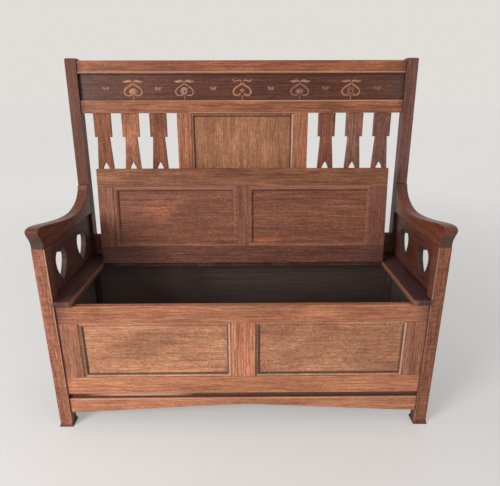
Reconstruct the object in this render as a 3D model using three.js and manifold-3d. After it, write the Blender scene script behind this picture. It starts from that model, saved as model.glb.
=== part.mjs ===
// A box settle in oak: a bench seat with a hinged lid over a panelled box, shaped arms on square
// posts, pierced boards under the arms, and a leaning back with shaped slats and a dark frieze.
// Millimetres, +Z up, the front towards -Y, and +X to the right of someone who looks at the front.

import * as THREE from 'three';
import { mergeVertices } from 'three/addons/utils/BufferGeometryUtils.js';
import Module from 'manifold-3d';

const wasm = await Module();
wasm.setup();

// The whole bench
const overallWidth = 1220;
const overallDepth = 445;
const seatHeight = 458;
const backHeight = 1166;
const postSize = 38;
const leanDegrees = 2.4;

// Joints and edges
const jointGap = 0.3;
const arris = 1.2;
const overrun = 5;
const grooveDepth = 8;
const grooveSlack = 0.2;

// Posts
const footFlare = 4;
const footFlareHeight = 16;
const footSteps = 4;
const postTopChamfer = 3;

// Arms, with heights above their flat undersides
const armAboveSeat = 168;
const armBackRise = 105;
const armBackThickness = 9;
const saddleRise = 32.5;
const saddleFromRearPost = 137;
const noseRise = 67;
const noseReach = 21;
const noseTipDrop = 10.5;
const neckRise = 13;
const armArris = 2.5;

// Pierced boards under the arms
const endBoardThickness = 18;
const heartWidth = 83;
const heartHeight = 104;
const heartNotchShare = 0.85;
const heartFromFrontPost = 48;
const heartFromRearPost = 57.5;
const heartBelowMiddle = 13;

// Box frame: rails, stiles and panels below the seat
const frameRecess = 5;
const frameThickness = 20;
const topRailWidth = 58;
const stileWidth = 61;
const muntinWidth = 76;
const bottomRailWidth = 62;
const bottomRailTop = 186;
const panelThickness = 7;
const panelSetback = 6.5;
const mouldingWidth = 12;
const mouldingShare = 0.25;
const mouldingQuirk = 1;
const mouldingSeat = 0.5;

// Apron
const apronBottom = 50;
const apronRise = 27;
const reedHeight = 19;
const reedDepth = 8;

// Box floor
const floorThickness = 12;
const cleatSize = 20;

// Seat top
const seatThickness = 18;
const seatOverhang = 5;
const endStripWidth = 56;
const noseRound = 6;
const stripCornerRound = 16;
const hingeLineFromBack = 103;
const seatGap = 1;

// Lid, whose front edge stands further out than the end strips
const lidOverhang = 15;
const lidSideGap = 1.5;
const lidOpenDegrees = 96.6;
const lidStileWidth = 55;
const lidFrontRailWidth = 63;
const lidRearRailWidth = 61;
const lidMuntinWidth = 38;
const lidPanelThickness = 8;
const lidPanelBelowTop = 0.6;
const lidMouldingWidth = 17;

// Hinges
const hingeLength = 64;
const hingeLeafThickness = 1.8;
const hingeLeafHeight = 16.5;
const hingeBarrelRadius = 3.3;
const hingePinRadius = 1.7;
const hingePinSlack = 0.2;
const hingeAxisRise = 0.6;
const hingeLetIn = 0.2;
const hingeKnuckles = 5;
const hingeKnuckleGap = 0.4;
const hingeBarrelSlack = 0.5;
const innerHingeFromMiddle = 138;
const outerHingeFromLidEnd = 78.5;

// Leaning back
const backRecess = 4;
const backRailThickness = 22;
const postAboveCrest = 6;
const crestWidth = 43;
const crestBeadHeight = 5;
const crestBeadProud = 2.5;
const friezeWidth = 88;
const friezeThickness = 9;
const friezeSetback = 8;
const friezeRailWidth = 44;
const backRailAboveSeat = 79;
const backStileWidth = 50.5;
const backPanelWidth = 368;
const backPanelThickness = 8;
const backPanelSetback = 7;
const backMouldingWidth = 11;

// Slats of the back
const slatWidth = 61;
const slatGap = 39;
const slatNeck = 42;
const slatHeadHeight = 82;
const slatThickness = 12;
const slatSetback = 5;
const spadeWidth = 26;
const spadeHeight = 46;
const spadeNotchShare = 0.55;
const spadeAboveMiddle = 30;

// Worked out from the sizes above
const half = overallWidth / 2;
const innerHalf = half - postSize;
const betweenPosts = innerHalf - jointGap;
const rearPostBack = overallDepth;
const rearPostFront = rearPostBack - postSize;
const lean = THREE.MathUtils.degToRad(leanDegrees);
const leanAt = (height) => Math.max(0, height - seatHeight) * Math.tan(lean);
const seatUnderside = seatHeight - seatThickness;
const railTop = seatUnderside - jointGap;
const topRailBottom = seatUnderside - topRailWidth;
const frameBack = frameRecess + frameThickness;
const bottomRailBottom = bottomRailTop - bottomRailWidth;
const backRailFront = rearPostFront + backRecess;
const boxBackOuter = backRailFront + frameThickness;
const sideOuter = half - frameRecess;
const sideInner = sideOuter - frameThickness;
const stripInner = innerHalf - endStripWidth;
const seatFront = -seatOverhang;
const lidHalf = stripInner - lidSideGap;
const hingeLineFromFront = boxBackOuter - hingeLineFromBack;
const floorTop = bottomRailTop;
const armUnderside = seatHeight + armAboveSeat;
const armBackHeight = armUnderside + armBackRise;
const crestTop = backHeight - postAboveCrest;
const backRailTop = seatHeight + backRailAboveSeat;

// Materials
const oak = new THREE.MeshStandardMaterial({ color: 0xa4683c, roughness: 0.5, metalness: 0 });
const panelOak = new THREE.MeshStandardMaterial({ color: 0xb07f55, roughness: 0.55, metalness: 0 });
const paleOak = new THREE.MeshStandardMaterial({ color: 0xb98255, roughness: 0.5, metalness: 0 });
const darkOak = new THREE.MeshStandardMaterial({ color: 0x5c3f36, roughness: 0.5, metalness: 0 });
const armOak = new THREE.MeshStandardMaterial({ color: 0x6b4230, roughness: 0.42, metalness: 0 });
const lidOak = new THREE.MeshStandardMaterial({ color: 0x84503a, roughness: 0.5, metalness: 0 });
const insideOak = new THREE.MeshStandardMaterial({ color: 0x7a553b, roughness: 0.7, metalness: 0 });
const hingeBrass = new THREE.MeshStandardMaterial({ color: 0x6f5a38, roughness: 0.45, metalness: 0.9 });

const settle = new THREE.Group();

function addPiece(parent, name, geometry, material) {
  const mesh = new THREE.Mesh(geometry, material);
  mesh.name = name;
  parent.add(mesh);
  return mesh;
}

// A piece for the right-hand end and its mirror image for the left-hand end
function addPair(parent, name, geometry, material) {
  addPiece(parent, `${name}_right`, geometry, material);
  addPiece(parent, `${name}_left`, mirrored(geometry), material);
}

function mirrored(geometry) {
  const copy = geometry.clone();
  copy.scale(-1, 1, 1);
  if (!copy.index) copy.setIndex([...Array(copy.attributes.position.count).keys()]);
  const order = copy.index.array;
  for (let i = 0; i < order.length; i += 3) {
    const first = order[i];
    order[i] = order[i + 1];
    order[i + 1] = first;
  }
  return copy;
}

function solidOf(geometry) {
  const bare = geometry.clone();
  bare.deleteAttribute('normal');
  bare.deleteAttribute('uv');
  const welded = mergeVertices(bare);
  return new wasm.Manifold(new wasm.Mesh({
    numProp: 3,
    vertProperties: new Float32Array(welded.attributes.position.array),
    triVerts: new Uint32Array(welded.index.array),
  }));
}

function geometryOf(solid) {
  const mesh = solid.getMesh();
  const geometry = new THREE.BufferGeometry();
  geometry.setAttribute('position', new THREE.BufferAttribute(mesh.vertProperties, 3));
  geometry.setIndex(new THREE.BufferAttribute(mesh.triVerts, 1));
  geometry.computeVertexNormals();
  return geometry;
}

function cut(geometry, ...cutters) {
  return geometryOf(cutters.reduce((body, cutter) => body.subtract(solidOf(cutter)), solidOf(geometry)));
}

function joined(geometry, ...others) {
  return geometryOf(others.reduce((body, other) => body.add(solidOf(other)), solidOf(geometry)));
}

// A sharp-edged block between two corners, for hidden panels and for cutting
function block([x0, x1], [y0, y1], [z0, z1]) {
  const geometry = new THREE.BoxGeometry(x1 - x0, y1 - y0, z1 - z0);
  geometry.translate((x0 + x1) / 2, (y0 + y1) / 2, (z0 + z1) / 2);
  return geometry;
}

function thickened(outline, thickness, edge, curveSegments, bevelSegments = 1) {
  return new THREE.ExtrudeGeometry(outline, {
    depth: thickness - 2 * edge,
    bevelEnabled: true,
    bevelThickness: edge,
    bevelSize: edge,
    bevelOffset: -edge,
    bevelSegments,
    curveSegments,
  });
}

// An outline drawn in (y, z), as thick as the span from x0 to x1
function acrossX(outline, [x0, x1], curveSegments = 6, edge = arris, edgeSteps = 1) {
  const geometry = thickened(outline, x1 - x0, edge, curveSegments, edgeSteps);
  const [alongX, alongY, alongZ] = axes();
  geometry.applyMatrix4(new THREE.Matrix4().makeBasis(alongY, alongZ, alongX));
  geometry.translate(x0 + edge, 0, 0);
  return geometry;
}

// An outline drawn in (x, z), as thick as the span from y0 to y1
function acrossY(outline, [y0, y1], curveSegments = 6) {
  const geometry = thickened(outline, y1 - y0, arris, curveSegments);
  const [alongX, alongY, alongZ] = axes();
  geometry.applyMatrix4(new THREE.Matrix4().makeBasis(alongX, alongZ, alongY.negate()));
  geometry.translate(0, y1 - arris, 0);
  return geometry;
}

function axes() {
  return [new THREE.Vector3(1, 0, 0), new THREE.Vector3(0, 1, 0), new THREE.Vector3(0, 0, 1)];
}

// A planed board between two corners, with its sharp edges taken off
function board([x0, x1], [y0, y1], [z0, z1]) {
  const outline = new THREE.Shape();
  outline.moveTo(x0 + arris, y0);
  outline.lineTo(x1 - arris, y0);
  outline.lineTo(x1, y0 + arris);
  outline.lineTo(x1, y1 - arris);
  outline.lineTo(x1 - arris, y1);
  outline.lineTo(x0 + arris, y1);
  outline.lineTo(x0, y1 - arris);
  outline.lineTo(x0, y0 + arris);
  const geometry = thickened(outline, z1 - z0, arris, 1);
  geometry.translate(0, 0, z0 + arris);
  return geometry;
}

// A moulding mitred round an opening in the XZ plane. Each point of its section is [inset from the
// opening's edge, y], and the section is listed clockwise as seen from the opening's left end.
function mitredMoulding([x0, x1], [z0, z1], section) {
  const positions = [];
  for (const [inset, y] of section) {
    positions.push(x0 + inset, y, z0 + inset);
    positions.push(x1 - inset, y, z0 + inset);
    positions.push(x1 - inset, y, z1 - inset);
    positions.push(x0 + inset, y, z1 - inset);
  }
  const order = [];
  section.forEach((_, here) => {
    const next = (here + 1) % section.length;
    for (let corner = 0; corner < 4; corner += 1) {
      const turn = (corner + 1) % 4;
      const [a, b] = [here * 4 + corner, here * 4 + turn];
      const [c, d] = [next * 4 + corner, next * 4 + turn];
      order.push(a, b, d, a, d, c);
    }
  });
  const geometry = new THREE.BufferGeometry();
  geometry.setAttribute('position', new THREE.Float32BufferAttribute(positions, 3));
  geometry.setIndex(order);
  return geometry;
}

// The section of a planted moulding: a quirk, a flat and a round that falls to the panel
function mouldingSection(width, front, panelFace) {
  const flat = width * mouldingShare;
  const points = [[jointGap, panelFace + mouldingSeat], [jointGap, front + mouldingQuirk]];
  points.push([jointGap + mouldingQuirk, front]);
  const steps = 4;
  const fall = panelFace - front;
  for (let i = 0; i <= steps; i += 1) {
    const turn = (i / steps) * (Math.PI / 2);
    points.push([flat + (width - flat) * Math.sin(turn), front + fall * (1 - Math.cos(turn))]);
  }
  points.push([width, panelFace + mouldingSeat]);
  return points;
}

// A heart standing in the plane of the shape. way is 1 for the point down and -1 for the point up.
// The shares are of half its width across and of half its height up, each from its middle. The
// nearer the notch's share is to 1, the shallower the notch.
function heart(across, up, width, height, way, notchShare) {
  const tipPullShare = [0.42, -0.62];
  const sidePullShare = [1, -0.12];
  const sideShare = [1, 0.42];
  const shoulderShare = [1, 0.78];
  const lobePullShare = [0.78, 1];
  const lobeShare = [0.52, 1];
  const lobeInnerShare = [0.26, 1];
  const notchRoundShare = 0.51;
  const notchPullShare = [0.2, notchShare + (1 - notchShare) * notchRoundShare];
  const at = (side, [w, h]) => [across + side * w * width / 2, up + way * h * height / 2];
  const path = new THREE.Path();
  path.moveTo(...at(1, [0, -1]));
  path.bezierCurveTo(...at(1, tipPullShare), ...at(1, sidePullShare), ...at(1, sideShare));
  path.bezierCurveTo(...at(1, shoulderShare), ...at(1, lobePullShare), ...at(1, lobeShare));
  path.bezierCurveTo(...at(1, lobeInnerShare), ...at(1, notchPullShare), ...at(1, [0, notchShare]));
  path.bezierCurveTo(...at(-1, notchPullShare), ...at(-1, lobeInnerShare), ...at(-1, lobeShare));
  path.bezierCurveTo(...at(-1, lobePullShare), ...at(-1, shoulderShare), ...at(-1, sideShare));
  path.bezierCurveTo(...at(-1, sidePullShare), ...at(-1, tipPullShare), ...at(-1, [0, -1]));
  return path;
}

// A post through square stations, each {z, middle, reach}: its height, the place of its middle in
// y, and half its width. The x middle is the same all the way up.
function postThrough(stations, xMiddle) {
  const positions = [];
  for (const { z, middle, reach } of stations) {
    positions.push(xMiddle - reach, middle - reach, z);
    positions.push(xMiddle + reach, middle - reach, z);
    positions.push(xMiddle + reach, middle + reach, z);
    positions.push(xMiddle - reach, middle + reach, z);
  }
  const order = [0, 2, 1, 0, 3, 2];
  for (let level = 0; level < stations.length - 1; level += 1) {
    for (let corner = 0; corner < 4; corner += 1) {
      const turn = (corner + 1) % 4;
      const [a, b] = [level * 4 + corner, level * 4 + turn];
      order.push(a, b, b + 4, a, b + 4, a + 4);
    }
  }
  const top = (stations.length - 1) * 4;
  order.push(top, top + 1, top + 2, top, top + 2, top + 3);
  const geometry = new THREE.BufferGeometry();
  geometry.setAttribute('position', new THREE.Float32BufferAttribute(positions, 3));
  geometry.setIndex(order);
  return geometry;
}

// The foot spreads a little where it meets the floor, in a hollow curve
function footStations(middle) {
  const reach = postSize / 2;
  const stations = [];
  for (let i = 0; i < footSteps; i += 1) {
    const up = i / footSteps;
    stations.push({ z: footFlareHeight * up, middle, reach: reach + footFlare * (1 - up) ** 2 });
  }
  stations.push({ z: footFlareHeight, middle, reach });
  return stations;
}

function frontPost() {
  const reach = postSize / 2;
  const stations = footStations(reach);
  stations.push({ z: armUnderside - jointGap, middle: reach, reach });
  return postThrough(stations, half - reach);
}

// The rear post stands upright to the seat and leans from there
function rearPost() {
  const reach = postSize / 2;
  const middle = rearPostFront + reach;
  const shoulder = backHeight - postTopChamfer;
  const stations = footStations(middle);
  stations.push({ z: seatHeight, middle, reach });
  stations.push({ z: shoulder, middle: middle + leanAt(shoulder), reach });
  stations.push({ z: backHeight, middle: middle + leanAt(backHeight), reach: reach - postTopChamfer });
  return postThrough(stations, half - reach);
}

// The arm is sawn from a thick board to a side outline: a flat seat on the front post and the end
// board, a rounded nose that runs down into a hollow neck, a long fall to the saddle on top and a
// sweep up the face of the rear post.
function arm() {
  const postFaceLow = rearPostFront + leanAt(armUnderside) - jointGap;
  const postFaceHigh = rearPostFront + leanAt(armBackHeight) - jointGap;
  const saddle = [rearPostFront - saddleFromRearPost, armUnderside + saddleRise];
  const noseTop = armUnderside + noseRise;
  const tip = [-noseReach, noseTop - noseTipDrop];
  const neck = [0, armUnderside + neckRise];
  // Where each curve's handles lie. The sweep's are shares of its height, the fall's are shares of
  // the saddle's y, and the nose's are shares of its reach, of the tip's drop and of the undercut.
  const sweep = armBackHeight - saddle[1];
  const sweepTopShare = [0.11, 0.55];
  const sweepFootShare = 1.03;
  const fallFootShare = 0.63;
  const fallHeadShare = 0.15;
  const noseFlatEndShare = 0.24;
  const noseTopShare = [0.48, 0.76];
  const undercut = tip[1] - neck[1];
  const underTipShare = 0.24;
  const neckShare = [0.14, 0.45];
  const sweepHead = postFaceHigh - armBackThickness;
  const outline = new THREE.Shape();
  outline.moveTo(0, armUnderside);
  outline.lineTo(postFaceLow, armUnderside);
  outline.lineTo(postFaceHigh, armBackHeight);
  outline.lineTo(sweepHead, armBackHeight);
  outline.bezierCurveTo(sweepHead - sweep * sweepTopShare[0], armBackHeight - sweep * sweepTopShare[1],
    saddle[0] + sweep * sweepFootShare, saddle[1], ...saddle);
  outline.bezierCurveTo(saddle[0] * fallFootShare, saddle[1], saddle[0] * fallHeadShare, noseTop,
    noseReach * noseFlatEndShare, noseTop);
  outline.bezierCurveTo(tip[0] * noseTopShare[0], noseTop, tip[0], tip[1] + noseTipDrop * noseTopShare[1],
    ...tip);
  outline.bezierCurveTo(tip[0], tip[1] - undercut * underTipShare, tip[0] * neckShare[0],
    neck[1] + undercut * neckShare[1], ...neck);
  return acrossX(outline, [innerHalf, half], 8, armArris, 2);
}

// The board under the arm stands on the seat's end strip and is pierced with two hearts
function endBoard() {
  const foot = seatHeight + jointGap;
  const head = armUnderside - jointGap;
  const front = postSize + jointGap;
  const outline = new THREE.Shape();
  outline.moveTo(front, foot);
  outline.lineTo(rearPostFront + leanAt(foot) - jointGap, foot);
  outline.lineTo(rearPostFront + leanAt(head) - jointGap, head);
  outline.lineTo(front, head);
  const heartMiddle = (seatHeight + armUnderside) / 2 - heartBelowMiddle;
  const firstHeart = postSize + heartFromFrontPost + heartWidth / 2;
  const secondHeart = rearPostFront - heartFromRearPost - heartWidth / 2;
  for (const place of [firstHeart, secondHeart]) {
    outline.holes.push(heart(place, heartMiddle, heartWidth, heartHeight, 1, heartNotchShare));
  }
  const middle = half - postSize / 2;
  return acrossX(outline, [middle - endBoardThickness / 2, middle + endBoardThickness / 2], 5);
}

for (const [name, geometry, material] of [
  ['front_post', frontPost(), oak],
  ['rear_post', rearPost(), oak],
  ['arm', arm(), armOak],
  ['end_board', endBoard(), armOak],
]) addPair(settle, name, geometry, material);

// Front of the box: two rails from post to post, stiles and a muntin between them, and two panels,
// each with a planted moulding
const frontSpan = [frameRecess, frameBack];
const panelFace = frameRecess + panelSetback;
const panelSpan = [panelFace, panelFace + panelThickness];
const grooveSpan = [panelFace - grooveSlack, panelFace + panelThickness + grooveSlack];
const stileInner = betweenPosts - stileWidth;
const muntinHalf = muntinWidth / 2;
const openingHeight = [bottomRailTop, topRailBottom];
const betweenRails = [openingHeight[0] + jointGap, openingHeight[1] - jointGap];
const pastRails = [openingHeight[0] - overrun, openingHeight[1] + overrun];

function frontStile() {
  const groove = block([stileInner - overrun, stileInner + grooveDepth], grooveSpan, pastRails);
  return cut(board([stileInner, betweenPosts], frontSpan, betweenRails), groove);
}

function frontRail(heights, grooveHeights) {
  const grooveReach = stileInner + grooveDepth;
  const groove = block([-grooveReach, grooveReach], grooveSpan, grooveHeights);
  return cut(board([-betweenPosts, betweenPosts], frontSpan, heights), groove);
}

function frontMuntin() {
  const grooves = [-1, 1].map((side) => block(
    [side * muntinHalf - grooveDepth, side * muntinHalf + grooveDepth], grooveSpan, pastRails));
  return cut(board([-muntinHalf, muntinHalf], frontSpan, betweenRails), ...grooves);
}

function frontPanel() {
  const tongue = grooveDepth - jointGap;
  const sheet = block([muntinHalf + jointGap - grooveDepth + jointGap, stileInner + tongue], panelSpan,
    [openingHeight[0] - tongue, openingHeight[1] + tongue]);
  const moulding = mitredMoulding([muntinHalf, stileInner], openingHeight,
    mouldingSection(mouldingWidth, frameRecess + mouldingQuirk, panelFace));
  return joined(sheet, moulding);
}

addPair(settle, 'front_stile', frontStile(), oak);
addPiece(settle, 'front_top_rail',
  frontRail([topRailBottom, railTop], [topRailBottom - overrun, topRailBottom + grooveDepth]), oak);
addPiece(settle, 'front_bottom_rail',
  frontRail([bottomRailBottom, bottomRailTop], [bottomRailTop - grooveDepth, bottomRailTop + overrun]),
  oak);
addPiece(settle, 'front_muntin', frontMuntin(), oak);
addPair(settle, 'front_panel', frontPanel(), panelOak);

// The apron under the front has a shallow arch below and a sunk band along its top
function apron() {
  const top = bottomRailBottom - jointGap;
  const archTop = apronBottom + apronRise;
  // Handles of the arch, as shares of its half width and of its rise
  const archFootShare = [0.58, 0.3];
  const archHeadShare = 0.21;
  const footHandle = [betweenPosts * archFootShare[0], apronBottom + apronRise * archFootShare[1]];
  const headHandle = betweenPosts * archHeadShare;
  const outline = new THREE.Shape();
  outline.moveTo(-betweenPosts, apronBottom);
  outline.bezierCurveTo(-footHandle[0], footHandle[1], -headHandle, archTop, 0, archTop);
  outline.bezierCurveTo(headHandle, archTop, ...footHandle, betweenPosts, apronBottom);
  outline.lineTo(betweenPosts, top);
  outline.lineTo(-betweenPosts, top);
  const sunkBand = block([-half, half], [frameRecess - overrun, frameRecess + reedDepth],
    [top - reedHeight, top + overrun]);
  return cut(acrossY(outline, frontSpan, 10), sunkBand);
}
addPiece(settle, 'apron', apron(), oak);

// Ends and back of the box: a top rail, a bottom rail and a panel between each pair of posts
const endSpan = [sideInner, sideOuter];
const endDepth = [postSize + jointGap, rearPostFront - jointGap];
const backSpan = [backRailFront, boxBackOuter];
const panelInset = (frameThickness - panelThickness) / 2;
const panelHeights = [bottomRailTop - grooveDepth + jointGap, topRailBottom + grooveDepth - jointGap];

function grooveHeights(heights, facesUp) {
  if (facesUp) return [heights[1] - grooveDepth, heights[1] + overrun];
  return [heights[0] - overrun, heights[0] + grooveDepth];
}

function sideRail(heights, facesUp) {
  const groove = block([sideInner + panelInset - grooveSlack, sideOuter - panelInset + grooveSlack],
    [0, rearPostBack], grooveHeights(heights, facesUp));
  return cut(board(endSpan, endDepth, heights), groove);
}

function boxBackRail(heights, facesUp) {
  const groove = block([-half, half],
    [backRailFront + panelInset - grooveSlack, boxBackOuter - panelInset + grooveSlack],
    grooveHeights(heights, facesUp));
  return cut(board([-betweenPosts, betweenPosts], backSpan, heights), groove);
}

addPair(settle, 'side_top_rail', sideRail([topRailBottom, railTop], false), oak);
addPair(settle, 'side_bottom_rail', sideRail([bottomRailBottom, bottomRailTop], true), oak);
addPair(settle, 'side_panel',
  block([sideInner + panelInset, sideOuter - panelInset], endDepth, panelHeights), panelOak);
addPiece(settle, 'box_back_top_rail', boxBackRail([topRailBottom, railTop], false), oak);
addPiece(settle, 'box_back_bottom_rail', boxBackRail([bottomRailBottom, bottomRailTop], true), oak);
addPiece(settle, 'box_back_panel', block([-betweenPosts, betweenPosts],
  [backRailFront + panelInset, boxBackOuter - panelInset], panelHeights), insideOak);

// The floor of the box lies on two cleats and is notched round the four posts
function boxFloor() {
  const reach = sideInner - jointGap;
  const depth = [frameBack + jointGap, backRailFront - jointGap];
  const notches = [];
  for (const side of [-1, 1]) {
    const across = side > 0 ? [betweenPosts, half] : [-half, -betweenPosts];
    notches.push(block(across, [0, postSize + jointGap], [0, seatHeight]));
    notches.push(block(across, [rearPostFront - jointGap, rearPostBack], [0, seatHeight]));
  }
  return cut(board([-reach, reach], depth, [floorTop - floorThickness, floorTop]), ...notches);
}

function cleat(depth) {
  const top = floorTop - floorThickness - jointGap;
  return board([-betweenPosts, betweenPosts], depth, [top - cleatSize, top]);
}

addPiece(settle, 'box_floor', boxFloor(), insideOak);
const frontCleatStart = frameBack + jointGap;
const rearCleatEnd = backRailFront - jointGap;
addPiece(settle, 'floor_cleat_front', cleat([frontCleatStart, frontCleatStart + cleatSize]), insideOak);
addPiece(settle, 'floor_cleat_rear', cleat([rearCleatEnd - cleatSize, rearCleatEnd]), insideOak);

// Seat top: a fixed strip at each end, notched round the posts, and the strip that holds the hinges
const seatSpan = [seatUnderside, seatHeight];
const hingeEdge = hingeLineFromFront + seatGap / 2;

// A board seen from its end, with its front edge rounded over
function nosedEnd(front, back, [bottom, top]) {
  const outline = new THREE.Shape();
  outline.moveTo(back, bottom);
  outline.lineTo(back, top);
  outline.lineTo(front + noseRound, top);
  outline.absarc(front + noseRound, top - noseRound, noseRound, Math.PI / 2, Math.PI, false);
  outline.absarc(front + noseRound, bottom + noseRound, noseRound, Math.PI, Math.PI * 1.5, false);
  return outline;
}

function endStrip() {
  const strip = acrossX(nosedEnd(seatFront, boxBackOuter, seatSpan), [stripInner, sideOuter], 4);
  const beside = [betweenPosts, half + overrun];
  const aroundFrontPost = block(beside, [seatFront - overrun, postSize + jointGap], [0, backHeight]);
  const aroundRearPost = block(beside, [rearPostFront - jointGap, rearPostBack], [0, backHeight]);
  const round = new THREE.CylinderGeometry(stripCornerRound, stripCornerRound, backHeight, 32);
  round.rotateX(Math.PI / 2);
  round.translate(stripInner + stripCornerRound, seatFront + stripCornerRound, backHeight / 2);
  const corner = block([stripInner - overrun, stripInner + stripCornerRound],
    [seatFront - overrun, seatFront + stripCornerRound], [overrun, seatHeight + overrun]);
  return cut(strip, aroundFrontPost, aroundRearPost, cut(corner, round));
}

// One hinge: its axis runs along x, at the top of the joint between the lid and the hinge strip
const hingeAxis = new THREE.Vector3(0, hingeLineFromFront, seatHeight + hingeAxisRise);
const outerHingeFromMiddle = lidHalf - outerHingeFromLidEnd;
const hingesOnTheRight = [innerHingeFromMiddle, outerHingeFromMiddle];
const hingePlaces = [-outerHingeFromMiddle, -innerHingeFromMiddle, ...hingesOnTheRight];

function rod(radius, [x0, x1]) {
  const geometry = new THREE.CylinderGeometry(radius, radius, x1 - x0, 16);
  geometry.rotateZ(-Math.PI / 2);
  geometry.translate((x0 + x1) / 2, 0, 0);
  return geometry;
}

// Room for one leaf in the edge of a board, and for the barrel above it. side is 1 for the fixed
// strip behind the axis and -1 for the lid in front of it.
function hingeRoom(place, side) {
  const ends = [place - hingeLength / 2 - hingeLetIn, place + hingeLength / 2 + hingeLetIn];
  const deep = side * (seatGap / 2 + hingeLeafThickness + hingeLetIn);
  const leafRoom = block(ends, [Math.min(deep, 0), Math.max(deep, 0)],
    [-hingeAxisRise - seatThickness - overrun, overrun]);
  return [leafRoom, rod(hingeBarrelRadius + hingeBarrelSlack, ends)];
}

// A leaf plate with its share of the knuckles. Knuckles are counted from the left, and the fixed
// leaf has the even ones and the pin.
function hingeLeaf(place, side) {
  const left = place - hingeLength / 2;
  const knuckle = hingeLength / hingeKnuckles;
  const face = side * (seatGap / 2);
  const back = side * (seatGap / 2 + hingeLeafThickness);
  const plate = [Math.min(face, back), Math.max(face, back)];
  let leaf = block([left, left + hingeLength], plate, [-hingeLeafHeight, 0]);
  const fixed = side > 0;
  const clearings = [];
  for (let i = 0; i < hingeKnuckles; i += 1) {
    const own = (i % 2 === 0) === fixed;
    const [x0, x1] = [left + i * knuckle, left + (i + 1) * knuckle];
    const margin = own ? 0 : hingeKnuckleGap;
    if (own) leaf = joined(leaf, rod(hingeBarrelRadius, [x0, x1]));
    else clearings.push(rod(hingeBarrelRadius + hingeBarrelSlack, [x0 - margin, x1 + margin]));
  }
  leaf = cut(leaf, ...clearings);
  const pinSpan = [left + hingeKnuckleGap, left + hingeLength - hingeKnuckleGap];
  if (fixed) return joined(leaf, rod(hingePinRadius, pinSpan));
  return cut(leaf, rod(hingePinRadius + hingePinSlack, [left - overrun, left + hingeLength + overrun]));
}

function hingeStrip() {
  const reach = stripInner - jointGap;
  const cutters = hingePlaces.flatMap((place) => hingeRoom(place, 1));
  cutters.forEach((cutter) => cutter.translate(hingeAxis.x, hingeAxis.y, hingeAxis.z));
  return cut(board([-reach, reach], [hingeEdge, boxBackOuter], seatSpan), ...cutters);
}

addPair(settle, 'seat_end_strip', endStrip(), oak);
addPiece(settle, 'hinge_strip', hingeStrip(), oak);
hingePlaces.forEach((place, i) => {
  const leaf = addPiece(settle, `hinge_fixed_leaf_${i + 1}`, hingeLeaf(place, 1), hingeBrass);
  leaf.position.copy(hingeAxis);
});

// The lid is drawn shut, from the hinge axis, and its group is turned to where it stands open
const lid = new THREE.Group();
lid.position.copy(hingeAxis);
lid.rotation.x = -THREE.MathUtils.degToRad(lidOpenDegrees);
settle.add(lid);

const lidTop = -hingeAxisRise;
const lidBottom = lidTop - seatThickness;
const lidSpan = [lidBottom, lidTop];
const lidBack = -seatGap / 2;
const lidFront = -lidOverhang - hingeLineFromFront;
const lidRearRailFront = lidBack - lidRearRailWidth;
const lidFrontRailBack = lidFront + lidFrontRailWidth;
const lidStileInner = lidHalf - lidStileWidth;
const lidMuntinHalf = lidMuntinWidth / 2;
const lidPanelSpan = [lidTop - lidPanelBelowTop - lidPanelThickness, lidTop - lidPanelBelowTop];
const lidGrooveSpan = [lidPanelSpan[0] - grooveSlack, lidTop - lidPanelBelowTop - lidPanelThickness / 2];
const lidTongueSpan = [lidPanelSpan[0], lidGrooveSpan[1] - grooveSlack];
const lidOpeningDepth = [lidFrontRailBack, lidRearRailFront];

const betweenLidRails = [lidFrontRailBack + jointGap, lidRearRailFront - jointGap];
const pastLidRails = [lidFrontRailBack - overrun, lidRearRailFront + overrun];
const lidGrooveReach = [-lidStileInner - grooveDepth, lidStileInner + grooveDepth];

function lidStile() {
  const groove = block([lidStileInner - overrun, lidStileInner + grooveDepth], pastLidRails,
    lidGrooveSpan);
  return cut(board([lidStileInner, lidHalf], betweenLidRails, lidSpan), groove);
}

function lidFrontRail() {
  const rail = acrossX(nosedEnd(lidFront, lidFrontRailBack, lidSpan), [-lidHalf, lidHalf], 4);
  const groove = block(lidGrooveReach, [lidFrontRailBack - grooveDepth, lidFrontRailBack + overrun],
    lidGrooveSpan);
  return cut(rail, groove);
}

function lidRearRail() {
  const rail = board([-lidHalf, lidHalf], [lidRearRailFront, lidBack], lidSpan);
  const groove = block(lidGrooveReach, [lidRearRailFront - overrun, lidRearRailFront + grooveDepth],
    lidGrooveSpan);
  return cut(rail, groove, ...hingePlaces.flatMap((place) => hingeRoom(place, -1)));
}

function lidMuntin() {
  const grooves = [-1, 1].map((side) => block(
    [side * lidMuntinHalf - grooveDepth, side * lidMuntinHalf + grooveDepth], pastLidRails,
    lidGrooveSpan));
  return cut(board([-lidMuntinHalf, lidMuntinHalf], betweenLidRails, lidSpan), ...grooves);
}

// The lid's panel is flush above and sunk below, with a tongue all round and a moulding underneath
function lidPanel() {
  const sheet = block([lidMuntinHalf + jointGap, lidStileInner - jointGap],
    [lidOpeningDepth[0] + jointGap, lidOpeningDepth[1] - jointGap], lidPanelSpan);
  const tongue = grooveDepth - jointGap;
  const edge = block([lidMuntinHalf - tongue, lidStileInner + tongue],
    [lidOpeningDepth[0] - tongue, lidOpeningDepth[1] + tongue], lidTongueSpan);
  const drawnDepth = [-lidOpeningDepth[1], -lidOpeningDepth[0]];
  const moulding = mitredMoulding([lidMuntinHalf, lidStileInner], drawnDepth,
    mouldingSection(lidMouldingWidth, lidBottom + mouldingQuirk, lidPanelSpan[0]));
  moulding.rotateX(Math.PI / 2);
  return joined(sheet, edge, moulding);
}

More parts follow.
